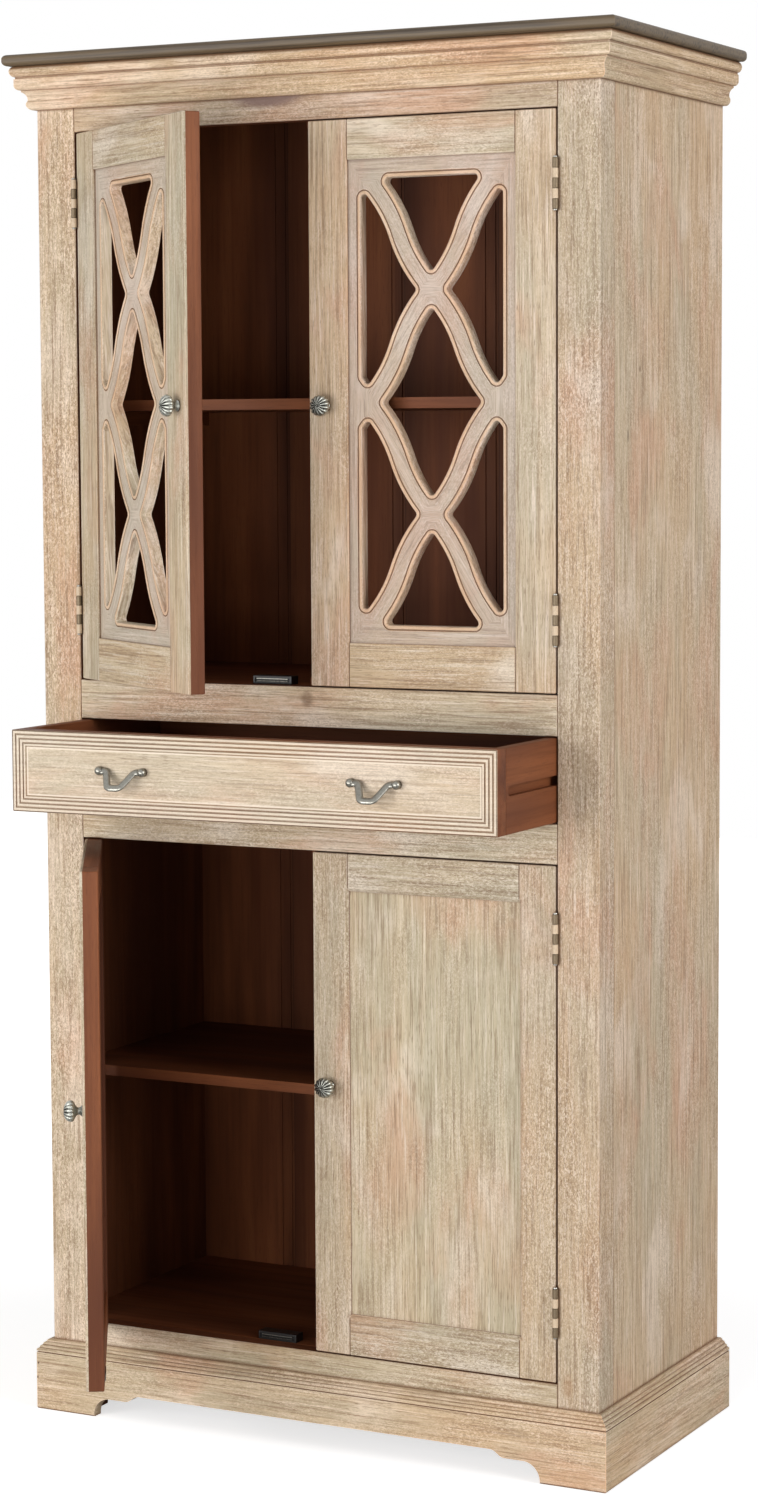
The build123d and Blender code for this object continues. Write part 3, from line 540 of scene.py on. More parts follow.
def stained_material(name, grain, shift, joints=()):
    """Stained wood all over; joints, places along X, part it into several boards, with painted
    shade darkening them towards each dark joint line and painted light lightening them all.
    """
    material, tree, surface = new_material(name)
    here = add(tree, "TexCoord")
    along = add(tree, "Mapping")
    along.inputs["Rotation"].default_value = grain_turns[grain]
    along.inputs["Location"].default_value = (0.41 * shift, 1.73 * shift, 2.31 * shift)
    link(tree, here.outputs["Object"], along.inputs["Vector"])
    stained = add(tree, "Group", node_tree=stain_group)
    place = along.outputs[0]
    colour = stained.outputs["Colour"]
    if joints:
        parts = add(tree, "SeparateXYZ")
        link(tree, here.outputs["Object"], parts.inputs[0])
        board_number = 0.0
        for joint in joints:
            past = arithmetic(tree, "SUBTRACT", parts.outputs["X"], joint)
            board_number = arithmetic(tree, "ADD", arithmetic(tree, "GREATER_THAN", past, 0.0), board_number)
            away = arithmetic(tree, "ABSOLUTE", past, 0.0)
            # Painted shade spreads from each joint, over the joint's own dark line.
            colour = layered(tree, colour, ((away, shade_reach, 0.0, 0.45, joint_and_shade_dark),
                                            (away, joint_width, joint_core, 0.8, joint_and_shade_dark)))
        lighter = add(tree, "VectorMath", operation="SCALE", Scale=back_painted_light)
        link(tree, colour, lighter.inputs[0])
        colour = lighter.outputs["Vector"]
        own_tree = add(tree, "VectorMath", operation="MULTIPLY_ADD")
        own_tree.inputs[1].default_value = board_step
        link(tree, board_number, own_tree.inputs[0])
        link(tree, place, own_tree.inputs[2])
        place = own_tree.outputs[0]
    link(tree, place, stained.inputs["Place"])
    link(tree, colour, surface.inputs["Base Color"])
    link(tree, stained.outputs["Roughness"], surface.inputs["Roughness"])
    surface.inputs["Specular IOR Level"].default_value = 0.2
    bumped(tree, surface, stained.outputs["Height"], 0.5, pore_depth)
    return material


def finish(name, material):
    """Puts a material on a CAD node, in every slot that it has, or on a piece."""
    piece = bpy.data.objects[name]
    if name not in nodes:
        piece.data.materials.clear()
        piece.data.materials.append(material)
    for slot in piece.material_slots:
        slot.material = material


print("the finishes for boards are ready")

# %% [markdown]
# From here on, pieces are modelled by hand. Blender's operators work on whatever is selected, so these
# short helpers first clear the selection, open one piece for editing, and then choose faces or corners
# by where they are and which way they face.

# %% Helpers for modelling by hand
def take(piece):
    """Makes one piece the only one selected."""
    bpy.ops.object.select_all(action="DESELECT")
    piece.select_set(True)
    bpy.context.view_layer.objects.active = piece
    return piece


def edit(piece, kind="FACE"):
    """Opens a piece for editing with nothing on it chosen."""
    take(piece)
    bpy.ops.object.mode_set(mode="EDIT")
    bpy.ops.mesh.select_mode(type=kind)
    bpy.ops.mesh.select_all(action="DESELECT")


def done():
    """Closes the piece that is open for editing."""
    bpy.ops.object.mode_set(mode="OBJECT")


def pick_faces(test):
    """Chooses the faces whose middle and normal pass a test."""
    data = bpy.context.edit_object.data
    mesh = bmesh.from_edit_mesh(data)
    chosen = [face for face in mesh.faces if test(face.calc_center_median(), face.normal)]
    for face in chosen:
        face.select_set(True)
    bmesh.update_edit_mesh(data)
    return len(chosen)


def pick_corners(test):
    """Chooses the corners whose place passes a test; corners of whole faces choose the faces too."""
    data = bpy.context.edit_object.data
    mesh = bmesh.from_edit_mesh(data)
    chosen = [corner for corner in mesh.verts if test(corner.co)]
    for corner in chosen:
        corner.select_set(True)
    mesh.select_flush(True)
    bmesh.update_edit_mesh(data)
    return len(chosen)


def measure(attribute, distance):
    """Notes a distance, in millimetres, on every corner that is chosen."""
    data = bpy.context.edit_object.data
    mesh = bmesh.from_edit_mesh(data)
    layer = mesh.verts.layers.float[attribute]
    for corner in mesh.verts:
        if corner.select:
            corner[layer] = distance
    bmesh.update_edit_mesh(data)


def inset_steps(steps, attribute, travelled=0.0):
    """A chain of insets, each so far inwards and so far up in millimetres.

    Every ring notes how far in it is."""
    mesh = bmesh.from_edit_mesh(bpy.context.edit_object.data)
    if attribute not in mesh.verts.layers.float:
        mesh.verts.layers.float.new(attribute)
    for inward, rise in steps:
        bpy.ops.mesh.inset(thickness=inward / 1000, depth=rise / 1000)
        travelled += inward
        measure(attribute, travelled)
    return travelled


def smoothed(piece, degrees=32):
    """Shades a piece smooth, except over edges sharper than an angle."""
    take(piece)
    bpy.ops.object.shade_smooth_by_angle(angle=math.radians(degrees))
    return piece


def copy_of(node, name):
    """A copy of a CAD node with its loose triangles merged."""
    piece = bpy.data.objects.new(name, nodes[node].data.copy())
    bpy.context.scene.collection.objects.link(piece)
    take(piece)
    if piece.data.has_custom_normals:
        bpy.ops.mesh.customdata_custom_splitnormals_clear()
    bpy.ops.object.mode_set(mode="EDIT")
    bpy.ops.mesh.select_all(action="SELECT")
    bpy.ops.mesh.remove_doubles(threshold=0.00001)
    done()
    return piece


def twin_of(piece, name, place):
    """A copy of a piece with its own mesh, set down by a matrix that may also mirror it."""
    twin = bpy.data.objects.new(name, piece.data.copy())
    bpy.context.scene.collection.objects.link(twin)
    twin.data.transform(place)
    if place.determinant() < 0:
        twin.data.flip_normals()
    return twin


def at_front(middle, normal):
    """Whether a face looks straight to the front."""
    return normal.y < -0.99


def at_back(middle, normal):
    """Whether a face looks straight back."""
    return normal.y > 0.99


def moved(x=0.0, y=0.0, z=0.0):
    """The matrix of a move."""
    return Matrix.Translation((x, y, z))


def joined(name, pieces):
    """Several pieces as one."""
    take(pieces[0])
    for piece in pieces:
        piece.select_set(True)
    bpy.ops.object.join()
    pieces[0].name = name
    return pieces[0]


def settled(piece, name, body, node):
    """A finished piece: its place goes into its mesh, and it stands for a CAD node."""
    take(piece)
    bpy.ops.object.transform_apply(location=True, rotation=True, scale=True)
    piece.name = name
    piece.data.name = name
    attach(piece, body)
    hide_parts(node)
    return piece


print("modelling helpers are ready")

# %% [markdown]
# The left-hand doors are the right-hand ones mirrored, and then swung open about their own hinges. So
# each hand-made piece of a right-hand door is copied once, by one matrix that does both.

# %% From a right-hand door to a left-hand one
mirror_x = Matrix.Scale(-1, 4, (1, 0, 0))


def left_hand(door):
    """The matrix that takes a piece of the closed right-hand door to the open left-hand one."""
    hinge = hinge_places[door]
    swing = Matrix.Rotation(-door_angles[door], 4, "Z")
    return Matrix.Translation(hinge) @ swing @ Matrix.Translation(-hinge) @ mirror_x


for door in doors:
    print(door, "hangs at", [round(value, 4) for value in hinge_places[door]])

# %% [markdown]
# A router ran round each opening of the fretted panel and left a rounded bead with a fine quirk beside
# it. By hand this is a chain of insets: the front of the panel is chosen, and each inset steps a
# little inwards and a little up or down, as the profile of the cutter does. Every step also notes how
# far it is from the opening, so that the finish can later lay stripes along the bars: a peachy colour
# over the bead that is partly rubbed bare wood and partly a painted highlight, painted shade with
# brown glaze in the quirk, and a grey tint on the flat.

# %% The bead round the openings of the fretted panel
bead_profile = ((0.5, 1.5), (0.9, 1.1), (1.2, 0.5), (1.3, -0.1), (1.2, -0.7), (0.7, -1.5), (0.8, 0.0),
                (0.5, 1.1), (2.2, 0.1))
bead_sink = 0.003
same_level = 0.0001
lattice = copy_of("upper_right_door_panel", "beaded_panel")
fret_front = min(corner.co.y for corner in lattice.data.vertices)
edit(lattice)
on_front = fret_front + same_level
front_faces = pick_faces(lambda middle, normal: at_front(middle, normal) and middle.y < on_front)
bpy.ops.transform.translate(value=(0, bead_sink, 0))
travelled = inset_steps(bead_profile, "from_opening")
flat_level = fret_front + bead_sink - sum(rise for inward, rise in bead_profile) / 1000
done()
print(front_faces, "front faces; the bars are flat at", round(flat_level, 5), "and the bead is",
      round(travelled, 1), "mm wide in all")

# %% [markdown]
# The insets also went round the outer border of the panel, where the real one has no bead. That strip
# is scaled flat again: everything within the bead's width of the border goes to the level of the bars.

# %% The plain border of the fretted panel
stile_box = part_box("upper_right_door_stiles")
stile_width = 0.060
low_rail_height = 0.061
high_rail_height = 0.055
side_low = stile_box[0][0] + stile_width
side_high = stile_box[1][0] - stile_width
end_low = stile_box[0][2] + low_rail_height
end_high = stile_box[1][2] - high_rail_height
strip = travelled / 1000 + 2 * same_level


def on_border(place):
    """Whether a corner lies on the front, near the outer border of the panel."""
    near_side = min(place.x - side_low, side_high - place.x) < strip
    near_end = min(place.z - end_low, end_high - place.z) < strip
    return place.y < fret_front + 1.05 * bead_sink and (near_side or near_end)


edit(lattice, "VERT")
print(pick_corners(on_border), "corners laid flat")
bpy.ops.transform.resize(value=(1, 0, 1), center_override=(0, flat_level, 0))
measure("from_opening", travelled)
done()
smoothed(lattice, 28)

# %% [markdown]
# The brush that laid the lime on the bars followed them, and on the border it followed the border. The
# streaks need to do the same, so each face of the panel carries its own grain coordinates: across and
# along the bar that it belongs to, or the border.

# %% Grain that follows the bars
fret_side_border = 0.020
fret_end_border = 0.026
fret_node_inset = 0.009
field_width = side_high - side_low - 2 * fret_side_border
repeat = (end_high - end_low - 2 * fret_end_border) / 4
middle_x = (side_low + side_high) / 2
middle_z = (end_low + end_high) / 2
bar_run = (field_width / 2 - fret_node_inset) / 2
bar_rise = repeat / 2
bar_length = math.hypot(bar_run, bar_rise)


def bar_grain(place):
    """Across and along the bar through a place; the bars cross one repeat above and below the middle."""
    out = abs(place.x - middle_x)
    up = abs((place.z - middle_z) % (2 * repeat) - repeat)
    across = (out * bar_rise - up * bar_run) / bar_length
    along = (out * bar_run + up * bar_rise) / bar_length
    return (across, 0.05 * place.x + 0.03 * place.z + 0.5 * place.y, along)


def border_grain(place, upright):
    """Across and along the border, where it stands upright and where it lies."""
    return (place.x, place.y, place.z) if upright else (place.z, place.y, place.x)


grain_store = lattice.data.attributes.new("bar_grain", "FLOAT_VECTOR", "CORNER")
bar_faces = 0
for face in lattice.data.polygons:
    from_side = min(face.center.x - side_low, side_high - face.center.x)
    from_end = min(face.center.z - end_low, end_high - face.center.z)
    on_bar = from_side > fret_side_border and from_end > fret_end_border
    bar_faces += on_bar
    for corner in face.loop_indices:
        place = lattice.data.vertices[lattice.data.loops[corner].vertex_index].co
        if on_bar:
            grain_store.data[corner].vector = bar_grain(place)
        else:
            upright = from_side - fret_side_border < from_end - fret_end_border
            grain_store.data[corner].vector = border_grain(place, upright)
print(bar_faces, "faces take their grain from the bars")

# %% [markdown]
# The panel is finished in the closed right-hand door. Its twin goes to the left-hand one, and each then
# stands for the CAD node of its own door.

# %% The fretted panels in their doors
lattice_left = twin_of(lattice, "lattice_left", left_hand("upper_left_door"))
for hand, panel in (("right", lattice), ("left", lattice_left)):
    door = f"upper_{hand}_door"
    settled(panel, f"{door}_fretted_panel", door, f"{door}_panel")
print("each fretted panel has", len(lattice.data.polygons), "faces")

# %% [markdown]
# Knobs, the balls of the pulls, hinge knuckles and screw heads are all round about one axis. The way a
# turner would do it suits them: a disc is pushed out step by step and drawn wider or narrower at each
# step, until it has followed the whole profile. Plates and bars are blocks with eased edges.

# %% A helper for turned pieces
def turned(name, profile, sides, bored=False):
    """A turned piece standing on the origin along +Z, from a profile of (radius, height) in millimetres.

    A bored piece has no discs at its ends: its profile comes back to where it began."""
    bpy.ops.object.select_all(action="DESELECT")
    radius, height = profile[0]
    ends = "NOTHING" if bored else "NGON"
    bpy.ops.mesh.primitive_circle_add(vertices=sides, radius=radius / 1000, fill_type=ends,
                                      location=(0, 0, height / 1000))
    piece = bpy.context.active_object
    piece.name = name
    bpy.ops.object.transform_apply(location=True)
    edit(piece, "EDGE")
    bpy.ops.mesh.select_all(action="SELECT")
    for next_radius, next_height in profile[1:]:
        rise = (next_height - height) / 1000
        bpy.ops.mesh.extrude_region_move(TRANSFORM_OT_translate={"value": (0, 0, rise)})
        grow = next_radius / radius
        bpy.ops.transform.resize(value=(grow, grow, 1), center_override=(0, 0, next_height / 1000))
        radius, height = next_radius, next_height
    bpy.ops.mesh.select_all(action="SELECT")
    if bored:
        bpy.ops.mesh.remove_doubles(threshold=0.00001)
    bpy.ops.mesh.normals_make_consistent(inside=False)
    done()
    return piece


def rounded(piece, width, segments=2, degrees=35):
    """Rounds the edges of a piece with an applied bevel."""
    take(piece)
    bevel = piece.modifiers.new("edges", "BEVEL")
    bevel.width = width / 1000
    bevel.segments = segments
    bevel.limit_method = "ANGLE"
    bevel.angle_limit = math.radians(degrees)
    bpy.ops.object.modifier_apply(modifier="edges")
    return piece


def block(name, low, high, ease=0.3):
    """A block between two corners, in metres, with its edges eased by so many millimetres."""
    bpy.ops.object.select_all(action="DESELECT")
    middle = [(a + b) / 2 for a, b in zip(low, high)]
    bpy.ops.mesh.primitive_cube_add(size=1, location=middle)
    piece = bpy.context.active_object
    piece.name = name
    piece.dimensions = [b - a for a, b in zip(low, high)]
    bpy.ops.object.transform_apply(location=True, rotation=True, scale=True)
    return rounded(piece, ease)


to_front = Matrix.Rotation(math.pi / 2, 4, "X")
print("a turned piece faces the front after a quarter turn about X")

# %% [markdown]
# A knob is a little cast rosette on a waisted neck: a domed head, parted by grooves into fourteen
# petals that meet in the middle. The head is turned first, with four columns of corners to a petal.
# Then every fourth column is drawn in towards the heart of the dome, and subdivision rounds the whole.

# %% The rosette knobs
knob_profile = ((8, 0), (8, 1.2), (6.6, 2.2), (4.9, 4.2), (4.7, 6.6), (6.6, 9.2), (10.6, 10.8), (13.7, 12.4),
                (15, 14.8), (15, 17.2), (14.2, 19.8), (12.4, 22.2), (9.7, 24.2), (6.6, 25.5), (3.6, 26.1),
                (1.6, 26.2))
petal_count = 14
petal_depth = 0.84
petal_middle = 0.0125
head_start = 0.0105
knob = turned("knob", knob_profile, 4 * petal_count)
edit(knob, "VERT")


def between_petals(place):
    """Whether a corner lies in one of the grooves between the petals of the head."""
    column = math.atan2(place.y, place.x) / (2 * math.pi) * petal_count
    in_head = place.z > head_start and place.xy.length > 0.001
    return in_head and abs(column - round(column)) < 0.1


print(pick_corners(between_petals), "corners drawn in")
bpy.ops.transform.resize(value=(petal_depth, petal_depth, petal_depth), center_override=(0, 0, petal_middle))
done()
take(knob)
soften = knob.modifiers.new("soften", "SUBSURF")
soften.levels = 1
soften.render_levels = 1
bpy.ops.object.modifier_apply(modifier="soften")
smoothed(knob, 60)

for level in ("upper", "lower"):
    node = f"{level}_right_door_knob"
    low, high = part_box(node)
    foot = moved((low[0] + high[0]) / 2, high[1], (low[2] + high[2]) / 2) @ to_front
    right = twin_of(knob, node, foot)
    left = twin_of(right, f"{level}_left_door_knob", left_hand(f"{level}_left_door"))
    settled(right, f"{level}_right_door_rosette", f"{level}_right_door", node)
    settled(left, f"{level}_left_door_rosette", f"{level}_left_door", f"{level}_left_door_knob")
    print(level, "knobs stand at", [round(value, 4) for value in foot.translation])
bpy.data.objects.remove(knob)

# %% [markdown]
# A drawer pull is a cast strap that leaves one ball, drops forward in a loop and comes back up to the
# other. It is drawn as it would be bent: a small oval section is pushed straight on, then spun round
# a corner, and so on to the middle; the other half is its mirror image. Each ball is turned.

# %% The drawer pulls
pull_half_span = 0.0345
pull_stand = 0.0070
pull_drop = 0.021
pull_reach = 0.019
shoulder_place = 0.0225
loop_taper = 0.0128
strap_width = 0.0106
strap_thickness = 0.0060
section_corners = 16
bend_steps = 7
loop_length = math.hypot(pull_drop, pull_reach)
loop_down = Vector((0, -pull_reach, -pull_drop)) / loop_length
loop_normal = Vector((1, 0, 0)).cross(loop_down)
bend_angle = math.pi / 2 - math.atan2(loop_taper, loop_length)

bpy.ops.object.select_all(action="DESELECT")
bpy.ops.mesh.primitive_circle_add(vertices=section_corners, radius=0.5, location=(0, 0, 0))
strap = bpy.context.active_object
section_axes = Matrix((loop_normal * strap_thickness, loop_down * strap_width, Vector((1, 0, 0))))
strap.data.transform(section_axes.transposed().to_4x4())
strap.data.transform(moved(x=pull_half_span, y=-pull_stand))
edit(strap, "EDGE")
bpy.ops.mesh.select_all(action="SELECT")
place = Vector((pull_half_span, -pull_stand, 0))
heading = Vector((-1, 0, 0))


def go_straight(length):
    """Pushes the end of the strap straight on."""
    global place
    bpy.ops.mesh.extrude_region_move(TRANSFORM_OT_translate={"value": heading * length})
    place = place + heading * length


def go_round(radius, side):
    """Spins the end of the strap round a corner; side is 1 to turn down the loop and -1 to turn back."""
    global place, heading
    toward = heading.cross(loop_normal) * side
    centre = place + toward * radius
    axis = heading.cross(toward)
    bpy.ops.mesh.spin(steps=bend_steps, angle=-bend_angle, center=centre, axis=axis)
    swing = Matrix.Rotation(bend_angle, 3, axis)
    place = centre + swing @ (place - centre)
    heading = swing @ heading


shoulder_radius = 0.0070
elbow_radius = 0.0088
ball_radius = 0.0063
shoulder_tangent = shoulder_radius * math.tan(bend_angle / 2)
elbow_tangent = elbow_radius * math.tan(bend_angle / 2)
go_straight(pull_half_span - shoulder_place - shoulder_tangent)
go_round(shoulder_radius, 1)
go_straight(math.hypot(loop_length, loop_taper) - shoulder_tangent - elbow_tangent)
go_round(elbow_radius, -1)
print("the strap comes to the middle at", [round(value, 4) for value in place], "heading",
      [round(value, 3) for value in heading])
go_straight(place.x)
done()

ends = [corner.co for corner in strap.data.vertices if abs(corner.co.x) < same_level]
print(len(ends), "corners at the middle, lowest", round(min(end.z for end in ends), 4))
edit(strap, "VERT")
pick_corners(lambda corner: abs(corner.x) < same_level)
bpy.ops.transform.resize(value=(0, 1, 1), center_override=(0, 0, 0))
done()
take(strap)
other_half = strap.modifiers.new("other_half", "MIRROR")
other_half.merge_threshold = 0.00005
bpy.ops.object.modifier_apply(modifier="other_half")
edit(strap)
bpy.ops.mesh.select_all(action="SELECT")
bpy.ops.mesh.normals_make_consistent(inside=False)
done()

ball_profile = ((3.5, 0), (3.5, 0.9), (4.3, 1.5), (5.5, 3.3), (6.2, 5.4), (6.3, 7.0), (6.0, 9.0), (5.0, 10.9),
                (3.5, 12.3), (1.6, 13.1), (0.5, 13.3))
ball = turned("ball", ball_profile, 24)
ball.data.transform(moved(x=pull_half_span) @ to_front)
other_ball = twin_of(ball, "other_ball", mirror_x)
pull = smoothed(joined("pull", [strap, ball, other_ball]), 50)
low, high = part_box("drawer_pulls")
pull_back = high[1]
pull_level = high[2] - ball_radius
pull_away = high[0] - pull_half_span - ball_radius
pulls = [twin_of(pull, "pull_copy", moved(side * pull_away, pull_back, pull_level)) for side in (-1, 1)]
drawer_pulls = joined("drawer_pulls_cast", pulls)
settled(drawer_pulls, "cast_drawer_pulls", "drawer", "drawer_pulls")
bpy.data.objects.remove(pull)
print("pulls", [round(value, 4) for value in drawer_pulls.dimensions], "instead of",
      [round(b - a, 4) for a, b in zip(low, high)])

# %% [markdown]
# Each hinge is a butt hinge of two leaves with five knuckles between them, on one loose pin with a
# small button at each end. The lime went over the leaves on the posts, so those are pale; the leaves
# on the doors kept their dark bronze. Three countersunk screws hold each leaf.

# %% The screws and knuckles of the hinges
knuckle_total = 5
hinge_tall = 0.068
pin_tall = 1000 * hinge_tall
knuckle_tall = pin_tall / knuckle_total
knuckle_profile = ((2.15, 0.15), (3.6, 0.15), (4.0, 0.55), (4.0, knuckle_tall - 0.55),
                   (3.6, knuckle_tall - 0.15), (2.15, knuckle_tall - 0.15), (2.15, 0.15))
knuckle = smoothed(turned("knuckle", knuckle_profile, 20, bored=True), 40)
pin_profile = ((1.2, -2.2), (2.6, -1.9), (3.1, -1.1), (3.0, -0.3), (2.0, 0), (2.0, pin_tall),
               (3.0, pin_tall + 0.3), (3.1, pin_tall + 1.1), (2.6, pin_tall + 1.9), (1.2, pin_tall + 2.2))
pin = smoothed(turned("pin", pin_profile, 20), 40)
screw_profile = ((2.9, -0.4), (2.9, 0.0), (2.75, 0.06))
screw = turned("screw", screw_profile, 16)
slot_half = 0.00035
slot_deep = 0.0003
edit(screw)
for side in (-1, 1):
    bpy.ops.mesh.select_all(action="SELECT")
    bpy.ops.mesh.bisect(plane_co=(0, side * slot_half, 0), plane_no=(0, 1, 0))
bpy.ops.mesh.select_all(action="DESELECT")
slot_faces = pick_faces(lambda middle, normal: normal.z > 0.9 and abs(middle.y) < slot_half / 2)
bpy.ops.mesh.extrude_region_move(TRANSFORM_OT_translate={"value": (0, 0, -slot_deep)})
done()
smoothed(screw, 40)
print(slot_faces, "face cut for the slot of a screw")

# %% [markdown]
# A leaf lies on the side of its post or its door, and from it a short wrap runs round each of its
# knuckles. Where the post's leaf has two knuckles the door's has three, and the other way round on the
# left. The left-hand leaves are made on the right and mirrored.

# %% The leaves of the hinges
leaf_thick = 0.0011
leaf_deep = 0.0207
screw_levels = (0.17, 0.5, 0.83)
screw_depths = (0.0145, 0.0075, 0.0145)
door_side = stile_box[1][0]
post_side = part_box("right_front_post")[0][0]
leaf_front = door_front + 0.0003
wrap_start = 0.0025
wrap_overlap = 0.0008
wrap_ease = 0.0004


def hinge_leaf(hinge, low, x_low, x_high, screw_turn, numbers):
    """A leaf of a right-hand hinge in its place, with screws and the knuckles of the given numbers."""
    plate_end = (x_high, leaf_front + leaf_deep, low + hinge_tall)
    pieces = [block("plate", (x_low, leaf_front, low), plate_end, 0.25)]
    for number in numbers:
        foot = low + number * hinge_tall / knuckle_total
        pieces.append(twin_of(knuckle, "knuckle_copy", moved(hinge.x, hinge.y, foot)))
        wrap_low = (x_low, hinge.y + wrap_start, foot + wrap_ease)
        wrap_high = (x_high, leaf_front + wrap_overlap, foot + knuckle_tall / 1000 - wrap_ease)
        pieces.append(block("wrap", wrap_low, wrap_high, 0.1))
    face = x_high if screw_turn > 0 else x_low
    for level, depth in zip(screw_levels, screw_depths):
        seat = moved(face, leaf_front + depth, low + level * hinge_tall)
        outwards = Matrix.Rotation(screw_turn * math.pi / 2, 4, "Y")
        pieces.append(twin_of(screw, "screw_copy", seat @ outwards @ Matrix.Rotation(level * 5, 4, "Z")))
    return pieces


three_knuckles = (0, 2, 4)
two_knuckles = (1, 3)
post_leaves = {"right": [], "left": []}
all_pins = []
for level in ("upper", "lower"):
    hinge = hinge_places[f"{level}_right_door"]
    low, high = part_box(f"{level}_right_door_hinge_leaves")
    for hand, door_numbers, post_numbers in (("right", three_knuckles, two_knuckles),
                                             ("left", two_knuckles, three_knuckles)):
        door = f"{level}_{hand}_door"
        door_leaves = []
        for foot in (low[2], high[2] - hinge_tall):
            door_leaves += hinge_leaf(hinge, foot, door_side, door_side + leaf_thick, 1, door_numbers)
            post_leaves[hand] += hinge_leaf(hinge, foot, post_side - leaf_thick, post_side, -1, post_numbers)
            side = 1 if hand == "right" else -1
            all_pins.append(twin_of(pin, "pin_copy", moved(side * hinge.x, hinge.y, foot)))
        leaves = joined("leaves", door_leaves)
        if hand == "left":
            leaves.data.transform(left_hand(door))
            leaves.data.flip_normals()
        settled(leaves, f"{door}_bronze_leaves", door, f"{door}_hinge_leaves")
for hand in ("right", "left"):
    leaves = joined("leaves", post_leaves[hand])
    if hand == "left":
        leaves.data.transform(mirror_x)
        leaves.data.flip_normals()
    settled(leaves, f"{hand}_post_leaves", "carcass", f"{hand}_hinge_frame_leaves")
settled(joined("pins", all_pins), "buttoned_hinge_pins", "carcass", "hinge_pins")
print(len(all_pins), "pins with their leaves")

# %% [markdown]
# The catches are short black bars with two steel pole plates in a slot along the front. The keepers on
# the backs of the doors are strips of steel on two screws.

# %% The catches and their keepers
catch_long = 0.062
catch_tall = 0.012
slot_inset = 0.0025
plate_gap = 0.0034
plate_half = 0.0006
plate_end = 0.006
plate_proud = 0.0002
screw_back = 0.003
low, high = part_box("door_catches")
catches = []
pole_plates = []
for side in (1, -1):
    for foot in (low[2], high[2] - catch_tall):
        right_end = high[0] if side > 0 else low[0] + catch_long
        left_end = right_end - catch_long
        body = block("catch", (left_end, low[1], foot), (right_end, high[1], foot + catch_tall), 0.7)
        edit(body)
        pick_faces(at_front)
        bpy.ops.mesh.inset(thickness=slot_inset, depth=0.0)
        bpy.ops.mesh.extrude_region_move(TRANSFORM_OT_translate={"value": (0, slot_inset, 0)})
        done()
        catches.append(body)
        for end in (0.15, 0.85):
            seat = moved(right_end - catch_long * end, (low[1] + high[1]) / 2 + screw_back, foot + catch_tall)
            catches.append(twin_of(screw, "catch_screw", seat @ Matrix.Rotation(end * 3, 4, "Z")))
        for above in (-1, 1):
            level = foot + catch_tall / 2 + above * plate_gap / 2
            plate_low = (left_end + plate_end, low[1] - plate_proud, level - plate_half)
            plate_high = (right_end - plate_end, low[1] + slot_inset, level + plate_half)
            pole_plates.append(block("pole_plate", plate_low, plate_high, 0.1))
settled(joined("catches", catches), "magnetic_catches", "carcass", "door_catches")
poles = joined("catch_pole_plates", pole_plates)
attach(poles, "carcass")
poles.data.name = poles.name

for level in ("upper", "lower"):
    low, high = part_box(f"{level}_right_door_strike_plate")
    keeper_pieces = [block("keeper", low, high, 0.3)]
    for share in (0.2, 0.8):
        seat = moved(low[0] + share * (high[0] - low[0]), high[1], (low[2] + high[2]) / 2)
        to_back = Matrix.Rotation(-math.pi / 2, 4, "X")
        seat = seat @ to_back @ Matrix.Rotation(share * 4, 4, "Z")
        keeper_pieces.append(twin_of(screw, "keeper_screw", seat))
    keeper = joined("keeper", keeper_pieces)
    left_keeper = twin_of(keeper, "left_keeper", left_hand(f"{level}_left_door"))
    for door, plate in ((f"{level}_right_door", keeper), (f"{level}_left_door", left_keeper)):
        settled(plate, f"{door}_keeper", door, f"{door}_strike_plate")
for spare in (knuckle, pin, screw):
    bpy.data.objects.remove(spare)
print("catches, pole plates and keepers are in")

# %% [markdown]
# The drawer front is one board with three reeds run round its edge and a sunk field in the middle. It
# starts as a block; the same chain of insets as on the fretted panel cuts the reeds, and then drops
# the field. Behind, a groove is cut for the drawer's bottom, because it shows when the drawer is out.

# %% The drawer front
reed_total = 3
reed_profile = ((0.25, 1.0), (0.65, 0.6), (1.3, 0.2), (1.3, -0.2), (0.65, -0.6), (0.25, -1.0))
reed_gap = 1.5
field_inset = 23.0
field_drop = 3.0
field_fall_width = 2.4
groove_play = 0.0005
groove_deep = 0.005
edge_ease = 1.2
low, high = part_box("drawer_front")
front = block("front", low, high, edge_ease)
bottom_low, bottom_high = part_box("drawer_bottom")
groove_end = bottom_high[0] + groove_play


def in_groove(middle, normal):
    """Whether a face of the back lies where the groove is to be."""
    in_height = bottom_low[2] < middle.z < bottom_high[2]
    return at_back(middle, normal) and in_height and abs(middle.x) < groove_end


edit(front)
pick_faces(at_back)
for level in (bottom_low[2], bottom_high[2]):
    bpy.ops.mesh.bisect(plane_co=(0, 0, level), plane_no=(0, 0, 1))
    bpy.ops.mesh.select_all(action="DESELECT")
    pick_faces(at_back)
for end in (-groove_end, groove_end):
    bpy.ops.mesh.bisect(plane_co=(end, 0, 0), plane_no=(1, 0, 0))
    bpy.ops.mesh.select_all(action="DESELECT")
    pick_faces(at_back)
bpy.ops.mesh.select_all(action="DESELECT")
groove_faces = pick_faces(in_groove)
bpy.ops.mesh.extrude_region_move(TRANSFORM_OT_translate={"value": (0, -groove_deep, 0)})
bpy.ops.mesh.select_all(action="DESELECT")
pick_faces(at_front)
reed_height = sum(rise for inward, rise in reed_profile if rise > 0) / 1000
bpy.ops.transform.translate(value=(0, reed_height, 0))
gone_in = edge_ease
for reed in range(reed_total):
    gone_in = inset_steps(reed_profile + ((reed_gap, 0.0),), "from_edge", gone_in)
band_width = field_inset - gone_in - field_fall_width
field_steps = ((0.4, 1.4), (0.6, 0.4), (band_width, 0.0), (0.6, -0.5), (0.8, 1.7 - field_drop), (3.0, 0.0))
gone_in = inset_steps(field_steps, "from_edge", gone_in)
done()
smoothed(front, 30)
settled(front, "reeded_drawer_front", "drawer", "drawer_front")
print(groove_faces, "face cut for the groove,", len(front.data.polygons), "faces in all")

